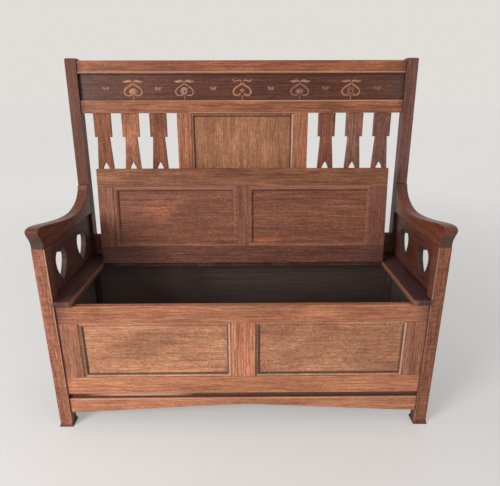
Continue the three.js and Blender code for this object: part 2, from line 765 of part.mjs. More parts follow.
addPair(lid, 'lid_stile', lidStile(), lidOak);
addPiece(lid, 'lid_front_rail', lidFrontRail(), lidOak);
addPiece(lid, 'lid_rear_rail', lidRearRail(), lidOak);
addPiece(lid, 'lid_muntin', lidMuntin(), lidOak);
addPair(lid, 'lid_panel', lidPanel(), lidOak);
hingePlaces.forEach((place, i) => {
  addPiece(lid, `hinge_lid_leaf_${i + 1}`, hingeLeaf(place, -1), hingeBrass);
});

// The back leans about a line at the seat, in the plane of the rear posts' front faces. Its own
// heights are measured from there.
const back = new THREE.Group();
back.position.set(0, rearPostFront, seatHeight);
back.rotation.x = -lean;
settle.add(back);

const above = (height) => height - seatHeight;
const backSpanY = [backRecess, backRecess + backRailThickness];
const crestBottom = above(crestTop) - crestWidth;
const friezeBottom = crestBottom - friezeWidth;
const friezeRailBottom = friezeBottom - friezeRailWidth;
const slatFoot = above(backRailTop);
const bayInner = backPanelWidth / 2 + backStileWidth;
const friezeSpan = [backRecess + friezeSetback, backRecess + friezeSetback + friezeThickness];
const friezeGroove = [friezeSpan[0] - grooveSlack, friezeSpan[1] + grooveSlack];
const slatSpan = [backRecess + slatSetback, backRecess + slatSetback + slatThickness];
const slatGroove = [slatSpan[0] - grooveSlack, slatSpan[1] + grooveSlack];
const centreFace = backRecess + backPanelSetback;
const centreSpan = [centreFace, centreFace + backPanelThickness];
const centreGroove = [centreSpan[0] - grooveSlack, centreSpan[1] + grooveSlack];

// The crest rail carries a bead along its lower edge
function crestRail() {
  const [front, behind] = backSpanY;
  const crest = above(crestTop);
  const bead = new THREE.Shape();
  bead.moveTo(behind, crestBottom);
  bead.lineTo(behind, crest - arris);
  bead.lineTo(behind - arris, crest);
  bead.lineTo(front + arris, crest);
  bead.lineTo(front, crest - arris);
  bead.lineTo(front, crestBottom + crestBeadHeight + crestBeadProud);
  bead.lineTo(front - crestBeadProud, crestBottom + crestBeadHeight);
  bead.lineTo(front - crestBeadProud, crestBottom);
  const rail = acrossX(bead, [-betweenPosts, betweenPosts]);
  return cut(rail, block([-half, half], friezeGroove, [crestBottom - overrun, crestBottom + grooveDepth]));
}

function friezeBoard() {
  const tongue = grooveDepth - jointGap;
  return block([-betweenPosts, betweenPosts], friezeSpan, [friezeBottom - tongue, crestBottom + tongue]);
}

// Grooves for the slats on both sides and for the panel in the middle, at one height
function backGrooves(heights) {
  const centre = block([-backPanelWidth / 2, backPanelWidth / 2], centreGroove, heights);
  const bays = [[-half, -bayInner], [bayInner, half]].map((bay) => block(bay, slatGroove, heights));
  return [centre, ...bays];
}

function friezeRail() {
  const rail = board([-betweenPosts, betweenPosts], backSpanY, [friezeRailBottom, friezeBottom]);
  const upper = block([-half, half], friezeGroove, [friezeBottom - grooveDepth, friezeBottom + overrun]);
  return cut(rail, upper, ...backGrooves([friezeRailBottom - overrun, friezeRailBottom + grooveDepth]));
}

function backBottomRail() {
  const dip = backSpanY[1] * Math.tan(lean) + jointGap;
  const rail = board([-betweenPosts, betweenPosts], backSpanY, [dip, slatFoot]);
  return cut(rail, ...backGrooves([slatFoot - grooveDepth, slatFoot + overrun]));
}

function backStile() {
  const inner = backPanelWidth / 2;
  const heights = [slatFoot + jointGap, friezeRailBottom - jointGap];
  const groove = block([inner - overrun, inner + grooveDepth], centreGroove,
    [heights[0] - overrun, heights[1] + overrun]);
  return cut(board([inner, bayInner], backSpanY, heights), groove);
}

function centrePanel() {
  const tongue = grooveDepth - jointGap;
  const reach = backPanelWidth / 2;
  const sheet = block([-reach, reach], centreSpan, [slatFoot - tongue, friezeRailBottom + tongue]);
  const sides = block([-reach - tongue, reach + tongue], centreSpan,
    [slatFoot + 2 * jointGap, friezeRailBottom - 2 * jointGap]);
  const moulding = mitredMoulding([-reach, reach], [slatFoot, friezeRailBottom],
    mouldingSection(backMouldingWidth, backRecess + mouldingQuirk, centreFace));
  return joined(geometryOf(solidOf(sheet)), sides, moulding);
}

// Each slat is full width at its head, foot and middle, narrow at the necks between, and pierced
function slat(xMiddle) {
  const foot = slatFoot + jointGap;
  const head = friezeRailBottom - jointGap;
  const middle = (foot + head) / 2;
  const wide = slatWidth / 2;
  const neck = slatNeck / 2;
  const tongue = grooveDepth - 2 * jointGap;
  const tongueHalf = neck;
  const outline = new THREE.Shape();
  const rightSide = [
    [tongueHalf, foot - tongue], [tongueHalf, foot], [wide, foot], [wide, foot + slatHeadHeight],
    [neck, foot + slatHeadHeight], [wide, middle], [neck, head - slatHeadHeight],
    [wide, head - slatHeadHeight], [wide, head], [tongueHalf, head], [tongueHalf, head + tongue],
  ];
  const leftSide = rightSide.map(([x, z]) => [-x, z]).reverse();
  [...rightSide, ...leftSide].forEach(([x, z], i) => {
    if (i === 0) outline.moveTo(xMiddle + x, z);
    else outline.lineTo(xMiddle + x, z);
  });
  outline.holes.push(heart(
    xMiddle, middle + spadeAboveMiddle, spadeWidth, spadeHeight, -1, spadeNotchShare));
  return acrossY(outline, slatSpan, 4);
}

addPiece(back, 'crest_rail', crestRail(), paleOak);
addPiece(back, 'frieze_board', friezeBoard(), darkOak);
addPiece(back, 'frieze_rail', friezeRail(), paleOak);
addPiece(back, 'back_bottom_rail', backBottomRail(), oak);
addPair(back, 'back_stile', backStile(), oak);
addPiece(back, 'back_centre_panel', centrePanel(), panelOak);
const slatPitch = slatWidth + slatGap;
const slatsPerBay = Math.floor((innerHalf - bayInner) / slatPitch);
const bayMiddle = (bayInner + innerHalf) / 2;
for (let i = 0; i < slatsPerBay; i += 1) {
  addPair(back, `back_slat_${i + 1}`, slat(bayMiddle + (i - (slatsPerBay - 1) / 2) * slatPitch), panelOak);
}

// The origin is on the floor, below the middle of the whole bench
const frontmost = -noseReach;
const rearmost = rearPostBack + leanAt(backHeight - postTopChamfer);
settle.position.y = -(frontmost + rearmost) / 2;

export default settle;
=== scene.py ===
import bpy, math
from mathutils import Euler, Matrix, Quaternion, Vector


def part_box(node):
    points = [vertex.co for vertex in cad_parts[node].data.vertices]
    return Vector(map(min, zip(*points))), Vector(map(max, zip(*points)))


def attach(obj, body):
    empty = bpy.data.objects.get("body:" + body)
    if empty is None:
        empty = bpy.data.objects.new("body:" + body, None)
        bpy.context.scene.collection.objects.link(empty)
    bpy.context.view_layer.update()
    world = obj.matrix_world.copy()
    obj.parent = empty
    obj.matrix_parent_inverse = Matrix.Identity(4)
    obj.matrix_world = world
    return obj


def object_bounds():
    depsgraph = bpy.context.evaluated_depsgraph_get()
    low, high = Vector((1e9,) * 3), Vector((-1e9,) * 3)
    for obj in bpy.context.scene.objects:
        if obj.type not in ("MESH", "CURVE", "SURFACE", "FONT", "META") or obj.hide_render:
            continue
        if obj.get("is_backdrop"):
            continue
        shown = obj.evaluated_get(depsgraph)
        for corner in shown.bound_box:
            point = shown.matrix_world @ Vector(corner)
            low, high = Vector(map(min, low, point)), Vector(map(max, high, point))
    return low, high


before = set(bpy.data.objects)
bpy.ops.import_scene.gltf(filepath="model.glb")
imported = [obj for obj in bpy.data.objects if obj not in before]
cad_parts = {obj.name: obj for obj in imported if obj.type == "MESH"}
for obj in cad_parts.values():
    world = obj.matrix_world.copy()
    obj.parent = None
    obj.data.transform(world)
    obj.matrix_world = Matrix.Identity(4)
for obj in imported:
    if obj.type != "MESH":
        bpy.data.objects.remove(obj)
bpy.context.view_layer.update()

# Room
# A plain pale floor in a pale room, with one broad soft window low in front to the left and a weak
# one to the right. Wall and floor are paler to the eye than the light that they give the bench.
scene = bpy.context.scene
scene.view_settings.view_transform = "Standard"


def add(tree, kind, sockets=None, **settings):
    """Adds a node; a socket's value is a number, a colour or another node's output."""
    made = tree.nodes.new(kind)
    for key, value in settings.items():
        setattr(made, key, value)
    for key, value in (sockets or {}).items():
        if isinstance(value, bpy.types.NodeSocket):
            tree.links.new(value, made.inputs[key])
        else:
            made.inputs[key].default_value = value
    return made


def math_node(tree, operation, *values):
    """The result of one operation on one, two or three numbers."""
    return add(tree, "ShaderNodeMath", dict(enumerate(values)), operation=operation).outputs[0]


def product(tree, first, *others):
    """Numbers multiplied together."""
    for other in others:
        first = math_node(tree, "MULTIPLY", first, other)
    return first


def spread(tree, value, low, high, to_low=0.0, to_high=1.0):
    """A value from low to high, carried over to a range of its own and held within that."""
    sockets = {0: value, 1: low, 2: high, 3: to_low, 4: to_high}
    return add(tree, "ShaderNodeMapRange", sockets).outputs[0]


def empty_material(name):
    material = bpy.data.materials.new(name)
    material.use_nodes = True
    material.node_tree.nodes.clear()
    return material, material.node_tree


def seen_directly(tree):
    """1 where the camera sees a thing, also by a reflection, and 0 where it only gives light."""
    path = add(tree, "ShaderNodeLightPath").outputs
    seen = math_node(tree, "MAXIMUM", path["Is Camera Ray"], path["Is Glossy Ray"])
    return math_node(tree, "MAXIMUM", seen, path["Is Transmission Ray"])


world = bpy.data.worlds.new("pale room")
scene.world = world
world.use_nodes = True
sky = world.node_tree
sky.nodes.clear()
room_light = add(sky, "ShaderNodeBackground", {"Color": (0.95, 0.97, 1.0, 1), "Strength": 0.5})
room_wall = add(sky, "ShaderNodeBackground", {"Color": (0.75, 0.725, 0.69, 1), "Strength": 1.0})
room = add(sky, "ShaderNodeMixShader", {0: seen_directly(sky), 1: room_light.outputs[0],
                                        2: room_wall.outputs[0]})
add(sky, "ShaderNodeOutputWorld", {"Surface": room.outputs[0]})

floor_reach = 30
floor_corners = [(-floor_reach, -floor_reach, 0), (floor_reach, -floor_reach, 0),
                 (floor_reach, floor_reach, 0), (-floor_reach, floor_reach, 0)]
floor_mesh = bpy.data.meshes.new("floor")
floor_mesh.from_pydata(floor_corners, [], [(0, 1, 2, 3)])
floor = bpy.data.objects.new("floor", floor_mesh)
scene.collection.objects.link(floor)
paint, tree = empty_material("painted floor")
place = add(tree, "ShaderNodeTexCoord").outputs["Object"]
cloudy = add(tree, "ShaderNodeTexNoise", {"Vector": place, "Scale": 2.5}).outputs[0]
tone = spread(tree, cloudy, 0, 1, 0.55, 0.59)
shade = add(tree, "ShaderNodeCombineColor", {0: tone, 1: product(tree, tone, 0.985),
                                             2: product(tree, tone, 0.965)})
painted = add(tree, "ShaderNodeBsdfPrincipled", {"Base Color": shade.outputs[0], "Roughness": 0.7})
# Away from the bench the floor pales until it passes into the wall
pales_from, pales_to = 0.9, 4.0
distance = add(tree, "ShaderNodeVectorMath", {0: place}, operation="LENGTH").outputs["Value"]
glow = spread(tree, distance, pales_from, pales_to, 0.30, 0.495)
paler = add(tree, "ShaderNodeEmission", {"Color": (0.80, 0.78, 0.75, 1),
                                         "Strength": product(tree, seen_directly(tree), glow)})
both_layers = add(tree, "ShaderNodeAddShader", {0: painted.outputs[0], 1: paler.outputs[0]})
add(tree, "ShaderNodeOutputMaterial", {"Surface": both_layers.outputs[0]})
floor_mesh.materials.append(paint)
floor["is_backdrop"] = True


def lamp(name, place, aim, width, power, colour):
    """A round soft lamp, turned towards the point that it lights."""
    data = bpy.data.lights.new(name, "AREA")
    data.shape = "DISK"
    data.size = width
    data.energy = power
    data.color = colour
    made = bpy.data.objects.new(name, data)
    scene.collection.objects.link(made)
    made.location = place
    made.rotation_euler = (Vector(place) - Vector(aim)).to_track_quat("Z", "Y").to_euler()


box_middle = (0, 0, 0.5)
lamp("window", (-2.9, -2.9, 1.8), box_middle, width=1.8, power=150, colour=(1.0, 0.98, 0.96))
lamp("far window", (2.4, -2.6, 1.8), box_middle, width=2.0, power=12, colour=(1.0, 0.96, 0.90))

# Viewpoint
# Standing height, a step in front of the bench and a little to the right of its middle, looking
# down. Place, turn and lens are those that fit the bench's edges in the photograph best.
sensor_width, picture_width, focal_pixels = 36, 500, 441.27
camera_data = bpy.data.cameras.new("view")
camera_data.sensor_width = sensor_width
camera_data.lens = focal_pixels / picture_width * sensor_width
camera = bpy.data.objects.new("view", camera_data)
scene.collection.objects.link(camera)
pitch, yaw, roll = math.radians(18.898), math.radians(0.454), math.radians(-0.132)
camera.location = (0.0128, -1.4300, 1.0554)
camera.rotation_mode = "QUATERNION"
unrolled = Euler((math.pi / 2 - pitch, 0, -yaw)).to_quaternion()
camera.rotation_quaternion = unrolled @ Quaternion((0, 0, 1), roll)
scene.camera = camera

# Posts
# Four square oak posts, stained and waxed. The front pair ends under the arms and the rear pair
# runs up and leans to carry the back. Their arrises are worn pale and their feet are scuffed dark.


def coat(tree, share, under, over, blend="MIX"):
    """One colour laid over another by a share from 0 to 1."""
    return add(tree, "ShaderNodeMix", {0: share, 6: under, 7: over}, data_type="RGBA",
               blend_type=blend, clamp_factor=True).outputs[2]


def tinged(tree, share, tint, where, low, high):
    """A tint multiplied by a colour that runs from low to high."""
    return coat(tree, share, tint, coat(tree, where, (*low, 1), (*high, 1)), "MULTIPLY")


def coordinate(tree, vector, axis):
    """How far a point lies, or a face looks, along X, Y or Z."""
    return add(tree, "ShaderNodeSeparateXYZ", {0: vector}).outputs[axis]


def coordinates(tree, vector):
    return [coordinate(tree, vector, axis) for axis in "XYZ"]


def turned(tree, vector, angles):
    return add(tree, "ShaderNodeMapping", {"Vector": vector, "Rotation": angles}).outputs[0]


def stretched(tree, vector, along, across, move=0.0):
    """Coordinates for a pattern that repeats so often in a metre along X and across it, moved
    elsewhere in the pattern so that no two boards are alike."""
    return add(tree, "ShaderNodeMapping", {"Vector": vector, "Scale": (along, across, across),
                                           "Location": (move, move * 1.7, move * 0.6)}).outputs[0]


def noise(tree, vector, detail=2.0, roughness=0.5, distortion=0.0):
    """The value and the colour of a soft random pattern."""
    return add(tree, "ShaderNodeTexNoise", {
        "Vector": vector, "Scale": 1.0, "Detail": detail, "Roughness": roughness,
        "Distortion": distortion}).outputs


def bumps(tree, height, strength, depth):
    """The normals of a surface with this relief."""
    return add(tree, "ShaderNodeBump", {"Height": height, "Strength": strength,
                                        "Distance": depth}).outputs[0]


def times(colour, *shares):
    """A colour with its red, green and blue each taken by a share."""
    shares = shares * 3 if len(shares) == 1 else shares
    return tuple(min(part * share, 1) for part, share in zip(colour, shares)) + (1,)


def indoors(tree, place):
    """1 on what faces the room inside the box, and 0 on its outside."""
    end_middle, front_middle, back_middle, rail_top = 0.595, -0.2118, 0.194, 0.4395
    side, deep, high = coordinates(tree, place)
    between_ends = math_node(tree, "LESS_THAN", math_node(tree, "ABSOLUTE", side), end_middle)
    behind_front = math_node(tree, "GREATER_THAN", deep, front_middle)
    before_back = math_node(tree, "LESS_THAN", deep, back_middle)
    below_seat = math_node(tree, "LESS_THAN", high, rail_top)
    return product(tree, between_ends, behind_front, before_back, below_seat)


def quarter_sawn(tree, laid, wave, tint, pale, move, flecks, rays):
    """Where rays reach the surface: short bright strokes in patches, and close bands nearly
    straight across the grain."""
    if flecks:
        slant = turned(tree, wave, (0.5, 0, 0.62))
        strokes = noise(tree, stretched(tree, slant, 320, 80, move + 23), 2, 0.55, 0.6)[0]
        where = noise(tree, stretched(tree, laid, 7, 13, move + 29), 2)[0]
        bright = product(tree, spread(tree, strokes, 0.52, 0.6),
                         spread(tree, where, 0.42, 0.6, 0, flecks))
        tint = coat(tree, bright, tint, times(pale, 1.2, 1.2, 1.15))
    if rays:
        crossed = turned(tree, wave, (0, 0.12, 0.16))
        crossed = noise(tree, stretched(tree, crossed, 230, 26, move + 41), 2, 0.55, 0.9)[0]
        tint = tinged(tree, rays, tint, spread(tree, crossed, 0.42, 0.58),
                      (0.6, 0.55, 0.54), (1.38, 1.38, 1.36))
    return tint


def shaded_inside(tree, place, tint, grain, tone, light_on_left):
    """The inside of the box is painted nearly black, for its darkened wood and for the shade inside
    the box, and painted lighter towards the left, against the shadow that falls there.
    """
    dark = coat(tree, grain, times((0.031, 0.021, 0.018), tone), times((0.047, 0.033, 0.028), tone))
    # Painted light: the inner face is lighter towards the left, against the shadow that falls there
    lit_left = spread(tree, coordinate(tree, place, "X"), -0.5, -0.18, light_on_left, 0)
    dark = coat(tree, lit_left, dark, (0.17, 0.115, 0.1, 1))
    return coat(tree, indoors(tree, place), tint, dark)


def worn_dirty_and_shaded(tree, place, laid, tint, deep, pale, move, wear, grime_and_shade, foot):
    """Arrises rubbed pale by hands; dirt, old wax and painted shade in corners and recesses, where
    ambient occlusion finds them; and dirt up to a ragged height on the foot."""
    arris, corner_reach, foot_fade = 0.0022, 0.02, 0.006
    rounded = add(tree, "ShaderNodeBevel", {"Radius": arris}, samples=5).outputs[0]
    flat = add(tree, "ShaderNodeNewGeometry").outputs["Normal"]
    bend = add(tree, "ShaderNodeVectorMath", {0: rounded, 1: flat}, operation="DOT_PRODUCT")
    rubbed = noise(tree, stretched(tree, laid, 30, 60, move + 31), 2)[0]
    open_air = add(tree, "ShaderNodeAmbientOcclusion", {"Distance": corner_reach},
                   samples=6).outputs["AO"]
    edge = product(tree, spread(tree, bend.outputs["Value"], 0.995, 0.93, 0, wear),
                   spread(tree, rubbed, 0.3, 0.6), spread(tree, open_air, 0.55, 0.8))
    tint = coat(tree, edge, tint, times(pale, 1.15, 1.25, 1.3))
    # Painted shade together with dirt: darker where ambient occlusion finds corners and recesses
    dirt_and_shade = spread(tree, open_air, 0.35, 0.85, grime_and_shade, 0)
    if foot:
        scuffed = math_node(tree, "ADD", coordinate(tree, place, "Z"),
                            spread(tree, rubbed, 0.3, 0.7, -foot_fade, foot_fade))
        dirt_and_shade = math_node(tree, "MAXIMUM", dirt_and_shade,
                         spread(tree, scuffed, foot, foot + foot_fade, 0.6, 0))
    return coat(tree, dirt_and_shade, tint, times(deep, 0.3, 0.26, 0.26))


def oak(name, colour, run="X", tilt=0.0, move=0.0, figure=0.85, flecks=0.0, rays=0.0, speckle=0.5,
        blotch=0.35, red=0.35, grime_and_shade=0.55, wear=0.5, roughness=0.46, foot=0.0, inside=0.0,
        light_on_left=0.0, after=None):
    """Stained and waxed oak of this mean colour, the same from whichever side it is seen.

    The grain runs along X, Y or Z and tilts with a leaning board. Figure is its contrast; flecks
    and rays are those of quarter-sawn oak; speckle, blotch and red are how unevenly it took the
    stain. Foot is the height of a scuffed foot, inside the tone of the inner face, which is painted
    nearly black for its aged wood and the shade inside the box, and a further share paints that
    face lighter towards the left. Another share darkens corners and recesses with dirt and
    painted shade. After is a function that adds what only this board has."""
    material, tree = empty_material(name)
    deep, pale = times(colour, 0.56, 0.44, 0.38), times(colour, 1.38, 1.46, 1.42)
    turn = {"X": (tilt, 0, 0), "Y": (0, 0, -math.pi / 2), "Z": (tilt, math.pi / 2, 0)}[run]
    place = add(tree, "ShaderNodeTexCoord").outputs["Object"]
    laid = turned(tree, place, turn)
    # The grain wanders a few millimetres sideways over the length of a board
    wander = noise(tree, stretched(tree, laid, 2.4, 9, move), 2)[1]
    wave = add(tree, "ShaderNodeVectorMath", {0: wander, 1: (0, 0.012, 0.012), 2: laid},
               operation="MULTIPLY_ADD").outputs[0]
    bands = noise(tree, stretched(tree, wave, 2.2, 75, move), 2, 0.55)[0]
    streaks = noise(tree, stretched(tree, wave, 7, 290, move + 3), 3, 0.65)[0]
    warm = noise(tree, stretched(tree, wave, 6, 150, move + 5), 2, 0.6)[0]
    hairs = noise(tree, stretched(tree, wave, 20, 900, move + 7), 2, 0.6)[0]
    pores = noise(tree, stretched(tree, wave, 60, 2100, move + 11), 1, 0.5)[0]
    clouds = noise(tree, stretched(tree, laid, 3.6, 8.5, move + 17), 2, 0.5)[0]
    mottle = noise(tree, stretched(tree, laid, 16, 34, move + 19), 2, 0.6)[0]
    grain = math_node(tree, "MULTIPLY_ADD", spread(tree, bands, 0.36, 0.64), 0.24,
                      spread(tree, streaks, 0.4, 0.6, 0, 0.76))
    half = 0.5 / figure
    tint = coat(tree, spread(tree, grain, 0.5 - half, 0.5 + half), deep, pale)
    # Clouded stain: patches towards brown and towards orange, and mottling within them
    tint = tinged(tree, blotch, tint, spread(tree, clouds, 0.36, 0.64),
                  (0.66, 0.60, 0.57), (1.34, 1.36, 1.32))
    tint = tinged(tree, blotch * 0.6, tint, spread(tree, mottle, 0.38, 0.62),
                  (0.72, 0.68, 0.66), (1.3, 1.32, 1.3))
    # Some streaks took the stain redder and some stayed yellower
    tint = tinged(tree, red, tint, spread(tree, warm, 0.4, 0.6),
                  (0.92, 1.1, 1.02), (1.12, 0.86, 0.94))
    # The grain is broken up along its length by small soft dashes, light and dark
    dashes = noise(tree, stretched(tree, laid, 85, 190, move + 37), 3, 0.65, 0.4)[0]
    tint = tinged(tree, speckle, tint, spread(tree, dashes, 0.4, 0.6),
                  (0.6, 0.55, 0.52), (1.42, 1.44, 1.42))
    # Open pores: short dark hair lines, filled with old stain and wax
    tint = coat(tree, spread(tree, hairs, 0.36, 0.5, 0.5, 0), tint, times(deep, 0.5, 0.45, 0.42))
    tint = coat(tree, spread(tree, pores, 0.33, 0.42, 0.5, 0), tint, times(deep, 0.36, 0.32, 0.3))
    tint = quarter_sawn(tree, laid, wave, tint, pale, move, flecks, rays)
    if after:
        tint = after(tree, place, tint)
    if inside:
        tint = shaded_inside(tree, place, tint, grain, inside, light_on_left)
    tint = worn_dirty_and_shaded(tree, place, laid, tint, deep, pale, move, wear, grime_and_shade, foot)
    rough = spread(tree, clouds, 0.3, 0.7, roughness - 0.06, roughness + 0.06)
    rough = math_node(tree, "ADD", rough, spread(tree, hairs, 0.36, 0.5, 0.16, 0))
    relief = math_node(tree, "MULTIPLY_ADD", streaks, 0.35, spread(tree, hairs, 0.34, 0.5, 0, 0.5))
    relief = math_node(tree, "ADD", relief, spread(tree, pores, 0.33, 0.42, 0, 0.3))
    surface = add(tree, "ShaderNodeBsdfPrincipled", {
        "Base Color": tint, "Roughness": rough, "Normal": bumps(tree, relief, 0.35, 0.0006),
        "Specular IOR Level": 0.25})
    add(tree, "ShaderNodeOutputMaterial", {"Surface": surface.outputs[0]})
    return material


def dress(material, *names):
    """Gives CAD nodes their finish."""
    for name in names:
        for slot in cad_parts[name].material_slots:
            slot.material = material


def both(*names):
    return [f"{name}_{side}" for name in names for side in ("right", "left")]


def face_looks(tree, axis):
    """How far a face looks along an axis, from -1 to 1."""
    return coordinate(tree, add(tree, "ShaderNodeNewGeometry").outputs["Normal"], axis)


def inner_face(tree):
    """1 on a face that looks along the bench, towards its middle or away from it."""
    return spread(tree, math_node(tree, "ABSOLUTE", face_looks(tree, "X")), 0.8, 0.9)


def post_arris(tree, place, tint):
    """Above the seat the inner side is painted dark, for its shade as well as a darker stain; the
    arris beside it has a painted highlight, a light line stronger on the left post and higher up.
    """
    line_middle, behind_face, seat_top, fade = 0.5730, -0.2250, 0.460, 0.005
    side, deep, high = coordinates(tree, place)
    above_seat = spread(tree, high, seat_top - fade, seat_top + fade, 0, 0.6)
    # Painted shade with darker stain on the inner faces above the seat
    tint = coat(tree, product(tree, inner_face(tree), above_seat), tint, (0.075, 0.03, 0.022, 1))
    # Painted highlight along the front inner arris, stronger on the left and higher up
    off_line = math_node(tree, "SUBTRACT", math_node(tree, "ABSOLUTE", side), line_middle)
    line = product(tree, spread(tree, math_node(tree, "ABSOLUTE", off_line), 0.0008, 0.0020, 1, 0),
                   spread(tree, deep, behind_face - 0.0005, behind_face + 0.0005, 1, 0))
    rubbed = math_node(tree, "ADD", spread(tree, side, -0.5, 0.5, 0.12, 0),
                       spread(tree, high, 0.2, 0.5, 0.16, 0.42))
    return coat(tree, product(tree, line, rubbed), tint, (0.60, 0.33, 0.23, 1))


lean, inner_tone = math.radians(2.4), 1.7
any_post = {"run": "Z", "foot": 0.009, "inside": inner_tone}
front_post = dict(any_post, flecks=0.3, wear=0.7, after=post_arris)
rear_post = dict(any_post, tilt=lean, flecks=0.2)
# The left front post is painted lighter and the right one darker: painted light and shade from the
# window at the left, on top of the stain
lit_left_front_oak = oak("left front post oak", (0.323, 0.127, 0.08), move=2.0, rays=0.3,
                     **front_post)
shaded_right_front_oak = oak("right front post oak", (0.238, 0.093, 0.056), move=3.0, rays=0.45,
                      **front_post)
left_rear_oak = oak("left rear post oak", (0.126, 0.037, 0.018), move=5.0, **rear_post)
right_rear_oak = oak("right rear post oak", (0.167, 0.074, 0.062), move=6.0, **rear_post)
dress(lit_left_front_oak, "front_post_left")
dress(shaded_right_front_oak, "front_post_right")
dress(left_rear_oak, "rear_post_left")
dress(right_rear_oak, "rear_post_right")

# Arms and pierced boards
# Each arm is sawn from one thick oak board and rounded over at the nose. The board below it stands
# on the seat and is pierced with two hearts. Both are darker than the frame, from years of hands.


def end_grain(tree, place, tint):
    """The sawn front end has drunk more stain, and shows its rings as fine dots."""
    roll_foot, roll_middle = 0.657, 0.672
    dots = noise(tree, stretched(tree, place, 700, 420), 2, 0.6)[0]
    soaked = coat(tree, spread(tree, dots, 0.4, 0.6),
                  (0.034, 0.02, 0.018, 1), (0.095, 0.05, 0.043, 1))
    below_roll = spread(tree, coordinate(tree, place, "Z"), roll_foot, roll_middle, 0.85, 0.25)
    front_end = spread(tree, face_looks(tree, "Y"), -0.45, -0.75)
    return coat(tree, product(tree, front_end, below_roll), tint, soaked)


def dark_cuts(tree, place, tint):
    """The sawn edges round the hearts are darker than the board's faces."""
    cut_edge = math_node(tree, "SUBTRACT", 1, inner_face(tree))
    return coat(tree, product(tree, cut_edge, 0.8), tint, (0.022, 0.011, 0.009, 1))


arm_oak = oak("arm oak", (0.163, 0.05, 0.029), "Y", move=9.0, wear=0.35, roughness=0.34,
              after=end_grain)
left_board_oak = oak("left pierced board oak", (0.128, 0.060, 0.052), "Y", move=12.0, wear=0.3,
                     after=dark_cuts)
right_board_oak = oak("right pierced board oak", (0.103, 0.035, 0.026), "Y", move=13.0, wear=0.3,
                      after=dark_cuts)
dress(arm_oak, *both("arm"))
dress(left_board_oak, "end_board_left")
dress(right_board_oak, "end_board_right")

# Front of the box
# Rails, stiles and a muntin, grooved round two quarter-sawn panels, each with a planted moulding.
# Painted shade and old wax lie dark in the moulding's quirks, most of all at the left and along the
# foot, and painted highlights light its right and lower arrises.
left, right, lower, upper = range(4)
# Dark wax with painted shade, and the grey painted shade of a moulding side turned from the light
dark_wax_and_shade, grey_wax_and_shade = (0.045, 0.025, 0.019, 1), (0.15, 0.095, 0.068, 1)
line_fade, mitre_overlap = 0.0008, 0.0002


def inside_opening(tree, across, up, low, high):
    """How far a point lies inside the left, right, lower and upper edge of an opening."""
    return (math_node(tree, "SUBTRACT", across, low[0]),
            math_node(tree, "SUBTRACT", high[0], across),
            math_node(tree, "SUBTRACT", up, low[1]),
            math_node(tree, "SUBTRACT", high[1], up))


def across_panel(tree, side, middle):
    """How far right a point lies of the middle of its own panel, which may be left or right."""
    own_middle = product(tree, math_node(tree, "SIGN", side), middle)
    return math_node(tree, "SUBTRACT", side, own_middle)


def moulding_lines(tree, tint, reaches, lines):
    """Lines along the sides of a mitred moulding: each has a side, where it starts and ends, a
    colour and a strength."""
    nearest = math_node(tree, "MINIMUM", math_node(tree, "MINIMUM", reaches[left], reaches[right]),
                        math_node(tree, "MINIMUM", reaches[lower], reaches[upper]))
    nearest = math_node(tree, "ADD", nearest, mitre_overlap)
    for side, start, end, colour, strength in lines:
        reach = reaches[side]
        line = product(tree, spread(tree, reach, start - line_fade, start, 0, strength),
                       spread(tree, reach, end, end + line_fade, 1, 0),
                       math_node(tree, "LESS_THAN", reach, nearest))
        tint = coat(tree, line, tint, colour)
    return tint


def front_moulding(tree, place, tint):
    """Painted shade with old wax in the quirks, a grey painted shade on the left side, and painted
    highlights on the inner arris at the right and the foot.
    """
    panel_middle, panel_half, panel_foot, panel_head = 0.27435, 0.23635, 0.1863, 0.3817
    across = across_panel(tree, coordinate(tree, place, "X"), panel_middle)
    reaches = inside_opening(tree, across, coordinate(tree, place, "Z"), (-panel_half, panel_foot),
                             (panel_half, panel_head))
    lit = (0.62, 0.40, 0.29, 1)
    return moulding_lines(tree, tint, reaches, (
        (left, 0.001, 0.0055, dark_wax_and_shade, 0.7), (left, 0.0055, 0.0105, grey_wax_and_shade, 0.45),
        (left, 0.0105, 0.0155, dark_wax_and_shade, 0.85), (right, -0.001, 0.002, grey_wax_and_shade, 0.6),
        (right, 0.003, 0.007, lit, 0.6), (right, 0.008, 0.0125, dark_wax_and_shade, 0.75),
        (lower, -0.001, 0.0022, dark_wax_and_shade, 0.6), (lower, 0.003, 0.006, lit, 0.3),
        (lower, 0.0085, 0.0135, dark_wax_and_shade, 0.85), (upper, 0.0085, 0.012, dark_wax_and_shade, 0.35)))


def shaded_ends(tree, place, tint, start, end, share, colour=(0.055, 0.03, 0.032, 1)):
    """Painted shadow darkens both ends of a board, where it meets the posts."""
    side = math_node(tree, "ABSOLUTE", coordinate(tree, place, "X"))
    return coat(tree, spread(tree, side, start, end, 0, share), tint, colour)


def rail_ends(tree, place, tint):
    return shaded_ends(tree, place, tint, start=0.53, end=0.568, share=0.55)


